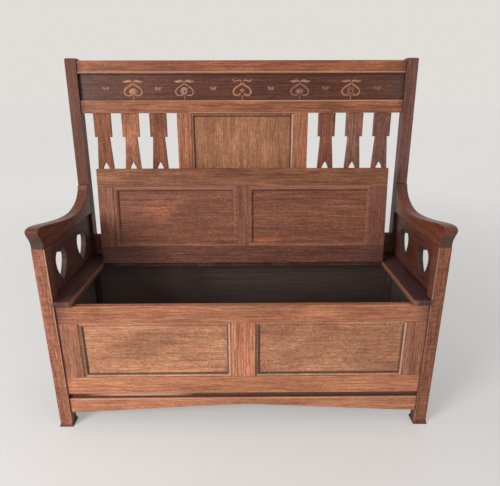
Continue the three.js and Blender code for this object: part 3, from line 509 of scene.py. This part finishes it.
top_rail_oak = oak("front top rail oak", (0.411, 0.17, 0.097), "X", move=15.0, figure=0.8,
                   speckle=0.28, wear=0.7, inside=inner_tone, after=rail_ends)
bottom_rail_oak = oak("front bottom rail oak", (0.5, 0.212, 0.119), "X", move=16.0, figure=0.75,
                      speckle=0.25, wear=0.7, inside=inner_tone)
stile_oak = oak("front stile oak", (0.33, 0.14, 0.088), "Z", move=18.0, speckle=0.35,
                inside=inner_tone)
muntin_oak = oak("front muntin oak", (0.502, 0.209, 0.122), "Z", move=19.0, figure=0.95,
                 speckle=0.3, inside=inner_tone)
front_panel_oak = oak("front panel oak", (0.467, 0.222, 0.132), "X", move=21.0, figure=0.5,
                      flecks=0.4, speckle=0.45, blotch=0.6, red=0.2, inside=inner_tone,
                      after=front_moulding)
dress(top_rail_oak, "front_top_rail")
dress(bottom_rail_oak, "front_bottom_rail")
dress(stile_oak, *both("front_stile"))
dress(muntin_oak, "front_muntin")
dress(front_panel_oak, *both("front_panel"))

# Apron
# An oak board with a shallow arch along the floor side and a reeded band sunk along its top.
# Painted shade with old wax darkens both quirks of the band and the bead between them, except for
# a painted reflection at the left; a painted highlight lies on the arris below.


def level_line(tree, high, foot, head, share):
    """A line along a board, from one height to another."""
    return product(tree, spread(tree, high, foot - line_fade, foot, 0, share),
                   spread(tree, high, head, head + line_fade, 1, 0))


def shaded_band(tree, place, tint):
    """Painted shade with dark wax on the sunk bead and in the quirks either side of it."""
    band_face, band_foot, bead_foot, bead_head = -0.2160, 0.1042, 0.1100, 0.1175
    side, deep, high = coordinates(tree, place)
    sunk = spread(tree, deep, band_face - 0.0005, band_face + 0.0005)
    # Part of the bead at the left is less dark and carries a painted reflection, light grey-brown
    reflecting_part = product(tree, spread(tree, side, -0.52, -0.42),
                      spread(tree, side, -0.24, -0.16, 1, 0))
    bead = product(tree, spread(tree, high, band_foot, band_foot + 0.001),
                   spread(tree, reflecting_part, 0, 1, 0.85, 0.3))
    tint = coat(tree, product(tree, bead, sunk), tint, (0.06, 0.028, 0.021, 1))
    painted_reflection = product(tree, reflecting_part, sunk, level_line(tree, high, bead_foot, bead_head, 0.6))
    tint = coat(tree, painted_reflection, tint, (0.66, 0.45, 0.35, 1))
    upper_quirk = spread(tree, high, bead_head + 0.001, bead_head + 0.0025)
    lower_quirk = product(tree, spread(tree, high, band_foot, band_foot + 0.0006),
                          spread(tree, high, bead_foot - 0.0015, bead_foot, 1, 0))
    # Painted shade in the quirks of the sunk band
    quirk_shade = product(tree, math_node(tree, "MAXIMUM", upper_quirk, lower_quirk), sunk, 0.8)
    tint = coat(tree, quirk_shade, tint, (0.03, 0.015, 0.012, 1))
    # A painted highlight makes a light line on the arris below the band
    rubbed = product(tree, level_line(tree, high, band_foot - 0.0024, band_foot, 0.45),
                     math_node(tree, "SUBTRACT", 1, sunk))
    return coat(tree, rubbed, tint, (0.78, 0.45, 0.30, 1))


apron_oak = oak("apron oak", (0.484, 0.211, 0.123), "X", move=24.0, figure=0.75, speckle=0.28,
                grime_and_shade=0.45, wear=0.9, after=shaded_band)
dress(apron_oak, "apron")

# Ends and back of the box
# Rails and flat panels of oak, plainer than the front and with less wear. The rails are tenoned
# into the posts and grooved for the panels. All of it is unpolished inside, and painted nearly
# black there for the shade inside the box.
end_rail_oak = oak("end rail oak", (0.25, 0.095, 0.055), "Y", move=27.0, inside=2.0)
left_end_oak = oak("left end panel oak", (0.26, 0.12, 0.07), "Y", move=30.0, inside=4.5)
right_end_oak = oak("right end panel oak", (0.26, 0.12, 0.07), "Y", move=31.0, inside=2.0)
# Its inner face is painted lighter towards the left, against the shadow that falls there
box_back_oak = oak("box back oak", (0.2, 0.09, 0.055), "X", move=33.0, wear=0.2, inside=inner_tone,
                   light_on_left=0.95)
dress(end_rail_oak, *both("side_top_rail", "side_bottom_rail"))
dress(left_end_oak, "side_panel_left")
dress(right_end_oak, "side_panel_right")
dress(box_back_oak, "box_back_top_rail", "box_back_bottom_rail", "box_back_panel")

# Inside of the box
# A floor of unpolished boards, darkened by age and painted dark for the shade inside the box. It
# lies on two oak cleats, along the front and the back of the box.
inside_oak = oak("inside oak", (0.07, 0.05, 0.04), "X", move=36.0, wear=0.1, roughness=0.7)
dress(inside_oak, "box_floor", "floor_cleat_front", "floor_cleat_rear")

# Seat strips
# Fixed boards at both ends of the seat and a narrow one behind, which the hinges are screwed to.
# The end boards are dark on top; their inner edges are worn back to orange by the lid and by hands.


def worn_inner_edge(tree, place, tint):
    """A ragged orange line along the lid's side, and a wider one at the nose."""
    edge_from, edge_to, edge_foot, edge_head = 0.5170, 0.5215, 0.445, 0.453
    nose_from, nose_to, nose_front, nose_back = 0.526, 0.536, -0.228, -0.222
    side, deep, high = coordinates(tree, place)
    uneven = noise(tree, stretched(tree, place, 50, 50), 2)[0]
    ragged = math_node(tree, "ADD", math_node(tree, "ABSOLUTE", side),
                       spread(tree, uneven, 0.3, 0.7, -0.002, 0.002))
    edge = product(tree, spread(tree, ragged, edge_from, edge_to, 0.85, 0),
                   spread(tree, high, edge_foot, edge_head, 0.3, 1))
    nose = product(tree, spread(tree, ragged, nose_from, nose_to, 1, 0),
                   spread(tree, deep, nose_front, nose_back, 0.45, 0))
    return coat(tree, math_node(tree, "MAXIMUM", edge, nose), tint, (0.33, 0.14, 0.075, 1))


strip_oak = oak("end strip oak", (0.080, 0.033, 0.034), "Y", move=39.0, wear=0.5, roughness=0.4,
                after=worn_inner_edge)
hinge_strip_oak = oak("hinge strip oak", (0.092, 0.038, 0.026), "X", move=42.0)
dress(strip_oak, *both("seat_end_strip"))
dress(hinge_strip_oak, "hinge_strip")

# Lid
# An oak frame with two sunk panels, flush above and moulded below, on four hinges. It stands open,
# just past upright, and shows its underside, which is redder than the front of the box.
lid_tilt = math.radians(6.6)


def rubbed_spot(tree, place, tint, middle, closeness, share):
    """A ragged bright patch where the finish was rubbed, smaller for a greater closeness."""
    spot = add(tree, "ShaderNodeVectorMath", {0: place, 1: middle}, operation="SUBTRACT")
    spot = add(tree, "ShaderNodeVectorMath", {0: spot.outputs[0], 1: closeness},
               operation="MULTIPLY")
    reach = add(tree, "ShaderNodeVectorMath", {0: spot.outputs[0]}, operation="LENGTH")
    uneven = noise(tree, stretched(tree, place, 30, 50), 2)[0]
    ragged = math_node(tree, "ADD", reach.outputs["Value"],
                       spread(tree, uneven, 0.3, 0.7, -0.4, 0.4))
    bright = coat(tree, 1.0, tint, (1.8, 1.68, 1.45, 1), "MULTIPLY")
    return coat(tree, spread(tree, ragged, 0.1, 1.0, share, 0), tint, bright)


def lid_underside(tree, place, tint):
    """Painted highlights along the mouldings' edges, one of them lifting the shadow under the front
    rail, and a rubbed light patch on either panel.
    """
    # The open lid tilts, so the front rail's inner edge lies higher on this face than behind
    higher_here = 0.0023
    near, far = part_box("lid_muntin")[1][0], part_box("lid_stile_right")[0][0]
    foot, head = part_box("lid_rear_rail")[1][2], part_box("lid_front_rail")[0][2] + higher_here
    across = across_panel(tree, coordinate(tree, place, "X"), (near + far) / 2)
    half = (far - near) / 2
    reaches = inside_opening(tree, across, coordinate(tree, place, "Z"),
                             (-half, foot), (half, head))
    lit = (0.50, 0.27, 0.18, 1)
    # Painted highlights; the inner one along the upper edge lifts the shadow that the front rail
    # casts
    tint = moulding_lines(tree, tint, reaches, (
        (left, -0.001, 0.002, lit, 0.3), (left, 0.006, 0.009, lit, 0.2),
        (right, -0.001, 0.002, lit, 0.3), (lower, 0.004, 0.008, lit, 0.2),
        (upper, -0.001, 0.003, lit, 0.6), (upper, 0.006, 0.011, lit, 0.3)))
    tint = rubbed_spot(tree, place, tint, (-0.30, 0, 0.65), (13, 0, 20), 0.8)
    return rubbed_spot(tree, place, tint, (0.085, 0, foot + 0.020), (9, 0, 60), 1.0)


def lid_rail_ends(tree, place, tint):
    return shaded_ends(tree, place, tint, start=0.24, end=0.46, share=0.4)


lid_front_oak = oak("lid front rail oak", (0.249, 0.1, 0.053), "X", tilt=lid_tilt, move=45.0,
                    speckle=0.38, blotch=0.6)
lid_rear_oak = oak("lid rear rail oak", (0.160, 0.058, 0.040), "X", tilt=lid_tilt, move=46.0,
                   after=lid_rail_ends)
lid_stile_oak = oak("lid stile oak", (0.225, 0.086, 0.057), "Z", tilt=lid_tilt, move=48.0)
lid_panel_oak = oak("lid panel oak", (0.217, 0.081, 0.05), "X", tilt=lid_tilt, move=51.0,
                    flecks=0.25, grime_and_shade=0.25, after=lid_underside)
dress(lid_front_oak, "lid_front_rail")
dress(lid_rear_oak, "lid_rear_rail")
dress(lid_stile_oak, "lid_muntin", *both("lid_stile"))
dress(lid_panel_oak, *both("lid_panel"))

# Hinges
# Four brass butt hinges, let into the edges of the lid and the strip, gone nearly black with age.
# Three slotted screws hold each leaf.


def aged_brass(name, bright, brown):
    material, tree = empty_material(name)
    place = add(tree, "ShaderNodeTexCoord").outputs["Object"]
    clouds = noise(tree, stretched(tree, place, 180, 180), 4, 0.6)[0]
    open_air = add(tree, "ShaderNodeAmbientOcclusion", {"Distance": 0.006}, samples=6).outputs["AO"]
    worn = product(tree, spread(tree, clouds, 0.35, 0.65), spread(tree, open_air, 0.3, 0.9))
    tint = coat(tree, worn, brown, bright)
    scratches = noise(tree, stretched(tree, place, 60, 1600), 2)[0]
    surface = add(tree, "ShaderNodeBsdfPrincipled", {
        "Base Color": tint, "Metallic": 0.6, "Normal": bumps(tree, scratches, 0.2, 0.0003),
        "Roughness": spread(tree, clouds, 0.3, 0.7, 0.55, 0.36)})
    add(tree, "ShaderNodeOutputMaterial", {"Surface": surface.outputs[0]})
    return material


def geometry_tree(name, sizes):
    """A tree for a Geometry Nodes modifier, with a geometry, these sizes and a finish as inputs."""
    tree = bpy.data.node_groups.new(name, "GeometryNodeTree")
    tree.interface.new_socket("Geometry", in_out="INPUT", socket_type="NodeSocketGeometry")
    for key, kind in sizes.items():
        tree.interface.new_socket(key, in_out="INPUT", socket_type=kind)
    tree.interface.new_socket("Finish", in_out="INPUT", socket_type="NodeSocketMaterial")
    tree.interface.new_socket("Geometry", in_out="OUTPUT", socket_type="NodeSocketGeometry")
    return tree, add(tree, "NodeGroupInput").outputs


def point(tree, *lengths):
    return add(tree, "ShaderNodeCombineXYZ", dict(enumerate(lengths))).outputs[0]


def end_tree(tree, geometry, given):
    real = add(tree, "GeometryNodeRealizeInstances", {"Geometry": geometry}).outputs[0]
    coated = add(tree, "GeometryNodeSetMaterial", {"Geometry": real,
                                                   "Material": given["Finish"]}).outputs[0]
    add(tree, "NodeGroupOutput", {0: coated})


def lay_out(name, verts, edges, tree, values, finish, move, body, extra=None):
    """Runs a tree on a bare mesh, places the result in its mesh and lets it ride on a body."""
    seed_mesh = bpy.data.meshes.new(name + "_seed")
    seed_mesh.from_pydata(verts, edges, [])
    for key, numbers in (extra or {}).items():
        data = seed_mesh.attributes.new(key, "FLOAT", "POINT").data
        for item, number in zip(data, numbers):
            item.value = number
    seed = bpy.data.objects.new(name + "_seed", seed_mesh)
    scene.collection.objects.link(seed)
    modifier = seed.modifiers.new("pattern", "NODES")
    modifier.node_group = tree
    given = dict(values, Finish=finish)
    for item in tree.interface.items_tree:
        if item.in_out == "INPUT" and item.name in given:
            modifier[item.identifier] = given[item.name]
    bpy.context.view_layer.update()
    ready = seed.evaluated_get(bpy.context.evaluated_depsgraph_get())
    mesh = bpy.data.meshes.new_from_object(ready)
    mesh.transform(move)
    mesh.name = name
    piece = bpy.data.objects.new(name, mesh)
    scene.collection.objects.link(piece)
    bpy.data.objects.remove(seed)
    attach(piece, body)


def screw_tree():
    """Slotted heads in threes on each point, lying in the XY plane, each turned at random."""
    tree, given = geometry_tree("slotted screws", {
        "Head radius": "NodeSocketFloat", "Proud": "NodeSocketFloat",
        "Slot width": "NodeSocketFloat", "Pitch": "NodeSocketFloat", "Seed": "NodeSocketInt"})
    head = add(tree, "GeometryNodeMeshCylinder", {"Vertices": 20, "Radius": given["Head radius"],
                                                  "Depth": given["Proud"]}).outputs["Mesh"]
    size = point(tree, product(tree, given["Head radius"], 3), given["Slot width"], given["Proud"])
    cutter = add(tree, "GeometryNodeMeshCube", {"Size": size}).outputs["Mesh"]
    lift = point(tree, 0, 0, product(tree, given["Proud"], 0.5))
    cutter = add(tree, "GeometryNodeTransform", {"Geometry": cutter,
                                                 "Translation": lift}).outputs[0]
    slotted = add(tree, "GeometryNodeMeshBoolean", {0: head, 1: cutter}, operation="DIFFERENCE")
    row = add(tree, "GeometryNodeMeshLine", {
        "Count": 3, "Start Location": point(tree, product(tree, given["Pitch"], -1)),
        "Offset": point(tree, given["Pitch"])}).outputs[0]
    rows = add(tree, "GeometryNodeInstanceOnPoints", {"Points": given["Geometry"],
                                                      "Instance": row}).outputs[0]
    spots = add(tree, "GeometryNodeRealizeInstances", {"Geometry": rows}).outputs[0]
    least, greatest = 2, 3
    any_turn = add(tree, "FunctionNodeRandomValue", {least: 0, greatest: math.pi,
                                                     "Seed": given["Seed"]}, data_type="FLOAT")
    heads = add(tree, "GeometryNodeInstanceOnPoints", {
        "Points": spots, "Instance": slotted.outputs[0],
        "Rotation": point(tree, 0, 0, any_turn.outputs[1])}).outputs[0]
    end_tree(tree, heads, given)
    return tree


brass = aged_brass("aged brass", (0.21, 0.14, 0.09, 1), (0.06, 0.042, 0.03, 1))
screw_steel = aged_brass("aged screw steel", (0.11, 0.085, 0.06, 1), (0.03, 0.024, 0.018, 1))
screws = screw_tree()
hinge_middles = []
for number in range(1, 5):
    dress(brass, f"hinge_fixed_leaf_{number}", f"hinge_lid_leaf_{number}")
    low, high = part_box(f"hinge_fixed_leaf_{number}")
    hinge_middles.append((low[0] + high[0]) / 2)
screw_sizes = {"Head radius": 0.0029, "Proud": 0.0004, "Slot width": 0.0009, "Pitch": 0.022,
               "Seed": 4}
screw_spots = [(middle, 0, 0) for middle in hinge_middles]
# The plate of a leaf starts half a millimetre from the hinge's axis and hangs from it, with its
# screws half way down; the lid's is turned with the lid
axis_y, axis_z, plate_start, screw_drop = 0.10123, 0.4586, 0.0005, 0.0105
quarter_turn = math.pi / 2
facing_front = (Matrix.Translation((0, axis_y + plate_start, axis_z - screw_drop))
                @ Matrix.Rotation(quarter_turn, 4, "X"))
lid_turn = Matrix.Rotation(-(quarter_turn + lid_tilt), 4, "X")
facing_back = (Matrix.Translation((0, axis_y, axis_z)) @ lid_turn
               @ Matrix.Translation((0, -plate_start, -screw_drop))
               @ Matrix.Rotation(-quarter_turn, 4, "X"))
lay_out("hinge_screws_fixed", screw_spots, [], screws, screw_sizes, screw_steel, facing_front,
        "carcase")
lay_out("hinge_screws_lid", screw_spots, [], screws, dict(screw_sizes, Seed=9), screw_steel,
        facing_back, "lid")

# Frame of the back
# A crest rail with a bead, a rail below the frieze, a bottom rail and two stiles, all of oak. The
# rails are tenoned into the rear posts, and the stiles stand between the two lower rails.


def crest_lines(tree, place, tint):
    """A painted highlight makes a light line on the step above the bead, the bead is painted dark,
    and painted shadow darkens the ends at the posts.
    """
    bead, step_foot, step_head = 0.0032, 0.0045, 0.0085
    high, foot = coordinate(tree, place, "Z"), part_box("crest_rail")[0][2]
    tint = coat(tree, level_line(tree, high, foot, foot + bead, 0.6), tint, (0.09, 0.03, 0.018, 1))
    tint = coat(tree, level_line(tree, high, foot + step_foot, foot + step_head, 0.5), tint,
                (0.62, 0.34, 0.24, 1))
    return shaded_ends(tree, place, tint, start=0.55, end=0.567, share=0.5)


def frieze_rail_lines(tree, place, tint):
    """Painted highlights make both arrises light, the lower one only above the centre panel, and
    painted shadow darkens the ends at the posts.
    """
    panel_half, lower_line, upper_line = 0.186, 0.0036, 0.004
    side, high = coordinate(tree, place, "X"), coordinate(tree, place, "Z")
    foot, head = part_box("frieze_rail")[0][2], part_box("frieze_rail")[1][2]
    above_panel = math_node(tree, "LESS_THAN", math_node(tree, "ABSOLUTE", side), panel_half)
    at_foot = product(tree, level_line(tree, high, foot, foot + lower_line, 0.5), above_panel)
    at_head = product(tree, level_line(tree, high, head - upper_line, head, 0.45),
                      spread(tree, side, -0.2, 0.0, 0.3, 1))
    tint = coat(tree, math_node(tree, "MAXIMUM", at_foot, at_head), tint, (0.64, 0.36, 0.24, 1))
    return shaded_ends(tree, place, tint, start=0.55, end=0.567, share=0.5)


crest_oak = oak("crest oak", (0.283, 0.103, 0.051), "X", tilt=lean, move=54.0, speckle=0.35,
                blotch=0.7, wear=0.8, after=crest_lines)
frieze_rail_oak = oak("frieze rail oak", (0.298, 0.113, 0.058), "X", tilt=lean, move=54.0,
                      speckle=0.3, blotch=0.7, wear=0.8, after=frieze_rail_lines)
back_stile_oak = oak("back stile oak", (0.398, 0.156, 0.088), "Z", tilt=lean, move=57.0)
back_rail_oak = oak("back bottom rail oak", (0.21, 0.095, 0.065), "X", tilt=lean, move=60.0)
dress(crest_oak, "crest_rail")
dress(frieze_rail_oak, "frieze_rail")
dress(back_stile_oak, *both("back_stile"))
dress(back_rail_oak, "back_bottom_rail")

# Centre panel of the back
# One wide flat oak board with its grain upright, a little browner than its frame. It sits in the
# grooves of the stiles and rails, with a moulding planted round its edge.


def back_moulding(tree, place, tint):
    """Painted shade with wax in the quirks, and a painted highlight on the moulding at the right.
    """
    panel_half = 0.184
    foot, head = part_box("back_bottom_rail")[1][2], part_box("frieze_rail")[0][2]
    reaches = inside_opening(tree, coordinate(tree, place, "X"), coordinate(tree, place, "Z"),
                             (-panel_half, foot), (panel_half, head))
    lit = (0.60, 0.42, 0.34, 1)
    return moulding_lines(tree, tint, reaches, (
        (left, -0.001, 0.002, dark_wax_and_shade, 0.6), (left, 0.0025, 0.0065, grey_wax_and_shade, 0.35),
        (left, 0.0075, 0.012, dark_wax_and_shade, 0.75), (right, -0.001, 0.0015, dark_wax_and_shade, 0.4),
        (right, 0.0025, 0.007, lit, 0.55), (right, 0.0085, 0.0125, dark_wax_and_shade, 0.7),
        (upper, -0.001, 0.003, dark_wax_and_shade, 0.55), (upper, 0.008, 0.0125, dark_wax_and_shade, 0.7)))


centre_oak = oak("centre panel oak", (0.346, 0.156, 0.083), "Z", tilt=lean, move=63.0, figure=0.6,
                 flecks=0.15, speckle=0.5, blotch=0.5, red=0.25, after=back_moulding)
dress(centre_oak, "back_centre_panel")

# Slats of the back
# Six sawn oak slats, wide at the head, middle and foot and pierced in the middle, with their ends
# let into the rails. No two took the stain alike.
slat_colours = {
    "3_left": (0.229, 0.08, 0.035), "2_left": (0.324, 0.13, 0.065), "1_left": (0.214, 0.074, 0.037),
    "1_right": (0.202, 0.074, 0.046), "2_right": (0.205, 0.092, 0.068),
    "3_right": (0.222, 0.097, 0.08)}
first_slat, next_slat = 66.0, 1.3
for number, (name, colour) in enumerate(slat_colours.items()):
    slat_oak = oak(f"slat oak {name}", colour, "Z", tilt=lean, move=first_slat + number * next_slat,
                   blotch=0.7, flecks=0.2)
    dress(slat_oak, f"back_slat_{name}")

# Frieze
# A board of darker, redder oak, set back from the rails, inlaid with a row of five flowering hearts
# cut from thin slips of paler wood, and with small pale hearts between and beside them.


def ribbon_tree():
    """Turns lines in the XY plane into flat slips of wood, as wide as the line says, in a row."""
    tree, given = geometry_tree("inlaid slips", {
        "Thickness": "NodeSocketFloat", "Count": "NodeSocketInt", "Start": "NodeSocketFloat",
        "Pitch": "NodeSocketFloat"})
    lines = add(tree, "GeometryNodeMeshToCurve", {"Mesh": given["Geometry"]}).outputs[0]
    wide = add(tree, "GeometryNodeInputNamedAttribute", {"Name": "width"},
               data_type="FLOAT").outputs[0]
    lines = add(tree, "GeometryNodeSetCurveNormal", {"Curve": lines}, mode="Z_UP").outputs[0]
    section = add(tree, "GeometryNodeCurvePrimitiveQuadrilateral", {"Width": 1.0,
                                                                    "Height": 1.0}).outputs[0]
    slips = add(tree, "GeometryNodeCurveToMesh", {"Curve": lines, "Profile Curve": section,
                                                  "Scale": wide, "Fill Caps": True}).outputs[0]
    at = add(tree, "GeometryNodeInputPosition").outputs[0]
    side, along, up = coordinates(tree, at)
    flat = product(tree, math_node(tree, "SIGN", up), given["Thickness"])
    slips = add(tree, "GeometryNodeSetPosition", {
        "Geometry": slips, "Position": point(tree, side, along, flat)}).outputs[0]
    row = add(tree, "GeometryNodeMeshLine", {
        "Count": given["Count"], "Start Location": point(tree, given["Start"]),
        "Offset": point(tree, given["Pitch"])}).outputs[0]
    placed = add(tree, "GeometryNodeInstanceOnPoints", {"Points": row,
                                                        "Instance": slips}).outputs[0]
    end_tree(tree, placed, given)
    return tree


def inlay_wood(name, colour, veiled, move):
    """A slip of plain wood under old wax, more veiled towards the right end of the frieze."""
    material, tree = empty_material(name)
    place = add(tree, "ShaderNodeTexCoord").outputs["Object"]
    lines = noise(tree, stretched(tree, place, 90, 420, move), 3, 0.6)[0]
    blur = noise(tree, stretched(tree, place, 70, 70, move + 4), 2)[0]
    tint = coat(tree, spread(tree, lines, 0.35, 0.65), times(colour, 0.72, 0.66, 0.62),
                times(colour, 1.25, 1.28, 1.3))
    side = coordinate(tree, place, "X")
    fading = math_node(tree, "ADD", spread(tree, side, -0.1, 0.5, veiled, veiled + 0.2),
                       spread(tree, blur, 0.3, 0.7, -0.25, 0.25))
    tint = coat(tree, fading, tint, (0.135, 0.062, 0.047, 1))
    surface = add(tree, "ShaderNodeBsdfPrincipled", {
        "Base Color": tint, "Roughness": spread(tree, blur, 0.3, 0.7, 0.36, 0.5),
        "Normal": bumps(tree, lines, 0.2, 0.0002), "Specular IOR Level": 0.25})
    add(tree, "ShaderNodeOutputMaterial", {"Surface": surface.outputs[0]})
    return material


def frieze_ends(tree, place, tint):
    return shaded_ends(tree, place, tint, start=0.49, end=0.567, share=0.45,
                       colour=(0.05, 0.042, 0.042, 1))


frieze_oak = oak("frieze oak", (0.111, 0.037, 0.023), "X", tilt=lean, move=69.0, wear=0.1,
                 roughness=0.38, after=frieze_ends)
dress(frieze_oak, "frieze_board")
slips = ribbon_tree()
tan_wood = inlay_wood("tan inlay", (0.43, 0.18, 0.105), veiled=0.1, move=1.0)
golden_wood = inlay_wood("golden inlay", (0.46, 0.24, 0.12), veiled=0.1, move=2.0)
pink_wood = inlay_wood("pink inlay", (0.42, 0.235, 0.19), veiled=0.15, move=3.0)
dull_wood = inlay_wood("dull inlay", (0.29, 0.13, 0.085), veiled=0.15, move=4.0)
faint_wood = inlay_wood("faint inlay", (0.36, 0.23, 0.19), veiled=0.55, move=5.0)
# The face of the frieze lies in a plane that leans with the back; its foot is 12 mm behind the
# front of the back, at the height of the seat
back_front, frieze_set_back, seat_height = 0.18023, 0.012, 0.458
on_frieze = (Matrix.Translation((0, back_front, seat_height)) @ Matrix.Rotation(-lean, 4, "X")
             @ Matrix.Translation((0, frieze_set_back, 0)) @ Matrix.Rotation(quarter_turn, 4, "X"))
# Slips that cross stand unlike distances proud, so that no two faces lie in one plane
leaf_proud, heart_proud, stem_proud = 0.00034, 0.0003, 0.00026
scroll_proud, bud_proud = 0.00024, 0.00022
# Distances of the hearts from the middle of the frieze, and of the small hearts between them
inner, outer = 0.2036, 0.384
small_hearts = {"inner": 0.1018, "between": 0.2945, "outer": 0.478}
# Strokes are drawn in millimetres, across from a heart's middle and up the back from the seat
per_metre = 1000


def bezier(*points, steps=12):
    """A line through one cubic curve, in metres."""
    line = []
    for i in range(steps + 1):
        t = i / steps
        weights = ((1 - t) ** 3, 3 * t * (1 - t) ** 2, 3 * t * t * (1 - t), t ** 3)
        line.append(tuple(sum(w * p[k] for w, p in zip(weights, points)) / per_metre
                          for k in (0, 1)))
    return line


def straight(first, last):
    return bezier(first, first, last, last, steps=6)


def spiral(middle, radius, turns, start, steps=26):
    """A line that winds in by most of its radius, in metres."""
    winds_in, line = 0.72, []
    for i in range(steps + 1):
        angle = start + 2 * math.pi * turns * i / steps
        reach = radius * (1 - winds_in * i / steps)
        line.append(((middle[0] + reach * math.cos(angle)) / per_metre,
                     (middle[1] + reach * math.sin(angle)) / per_metre))
    return line


def mirrored(line):
    return [(-x, y) for x, y in line]


def tapered(line, widest, tip=0.15):
    """A stroke that swells from its ends to its middle, full for most of its length."""
    last, fullness = len(line) - 1, 0.7
    return line, [widest / per_metre * (tip + (1 - tip) * math.sin(math.pi * i / last) ** fullness)
                  for i in range(len(line))]


def even(line, width):
    """A stroke of one width."""
    return line, [width / per_metre] * len(line)


def heart(width):
    lobe_side = bezier((0, 627), (-13, 617), (-32, 611), (-31, 598))
    lobe_foot = bezier((-31, 598), (-30, 588), (-18, 584), (-7, 589))
    half = lobe_side + lobe_foot[1:]
    return [even(half, width), even(mirrored(half), width)]


def leaves(width):
    leaf = bezier((-1, 631), (-12, 642), (-20, 628), (-35, 635))
    return [tapered(leaf, width), tapered(mirrored(leaf), width)]


def inlay(name, strokes, finish, proud, places=(0.0,)):
    """Strokes inlaid at one place along the frieze, or at two."""
    verts, edges, widths = [], [], []
    for line, wide in strokes:
        first = len(verts)
        verts += [(x, y, 0) for x, y in line]
        edges += [(i, i + 1) for i in range(first, len(verts) - 1)]
        widths += wide
    values = {"Thickness": proud, "Count": len(places), "Start": places[0],
              "Pitch": places[-1] - places[0]}
    lay_out(name, verts, edges, slips, values, finish, on_frieze, "carcase", {"width": widths})


inlay("inlay_hearts_outer", heart(6.5), tan_wood, heart_proud, (-outer, outer))
inlay("inlay_heart_second", heart(4), pink_wood, heart_proud, (-inner,))
inlay("inlay_heart_middle", heart(7), tan_wood, heart_proud)
inlay("inlay_heart_fourth", heart(6), dull_wood, heart_proud, (inner,))
stem = straight((0, 588), (0, 573))
inlay("inlay_stem_middle", [even(stem, 3.6)], tan_wood, stem_proud)
inlay("inlay_stems_inner", [even(stem, 3)], dull_wood, stem_proud, (-inner, inner))
inlay("inlay_stems_outer", [even(stem, 3.6)], tan_wood, stem_proud, (-outer, outer))
inlay("inlay_leaves_first", leaves(9), golden_wood, leaf_proud, (-outer,))
inlay("inlay_leaves_second", leaves(9), golden_wood, leaf_proud, (-inner,))
inlay("inlay_leaves_fourth", leaves(10), pink_wood, leaf_proud, (inner,))
inlay("inlay_leaves_fifth", leaves(8), pink_wood, leaf_proud, (outer,))
curl = bezier((-3, 633), (-12, 648), (-26, 622), (-33, 641))
inlay("inlay_curls", [even(curl, 4.2), even(mirrored(curl), 4.2)], pink_wood, leaf_proud)
bud = bezier((-15, 600), (-6, 600), (6, 600), (15, 600))
inlay("inlay_bud", [tapered(bud, 24, 0.2)], golden_wood, bud_proud, (-outer,))
inlay("inlay_dull_bud", [tapered(bud, 21, 0.2)], dull_wood, bud_proud, (inner,))
scroll = spiral((-1, 601), 13, 1.7, math.pi * 0.1)
inlay("inlay_scroll_second", [even(scroll, 4.6)], pink_wood, scroll_proud, (-inner,))
inlay("inlay_scroll_fifth", [even(scroll, 4.6)], dull_wood, scroll_proud, (outer,))
petals = [straight(*ends) for ends in (
    ((-8, 604), (-2, 604)), ((2, 604), (8, 604)), ((0, 598), (0, 602)), ((0, 606), (0, 611)),
    ((-12, 590), (-5, 594)), ((5, 594), (12, 590)))]
inlay("inlay_petals", [tapered(petal, 5, 0.5) for petal in petals], golden_wood, scroll_proud)
lobe = bezier((0, 605), (-4, 609), (-8, 612), (-11, 615), steps=8)
small_heart = [tapered(lobe, 11, 0.5), tapered(mirrored(lobe), 11, 0.5)]
for name, across in small_hearts.items():
    inlay(f"inlay_small_hearts_{name}", small_heart, faint_wood, heart_proud, (-across, across))

low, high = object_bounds()
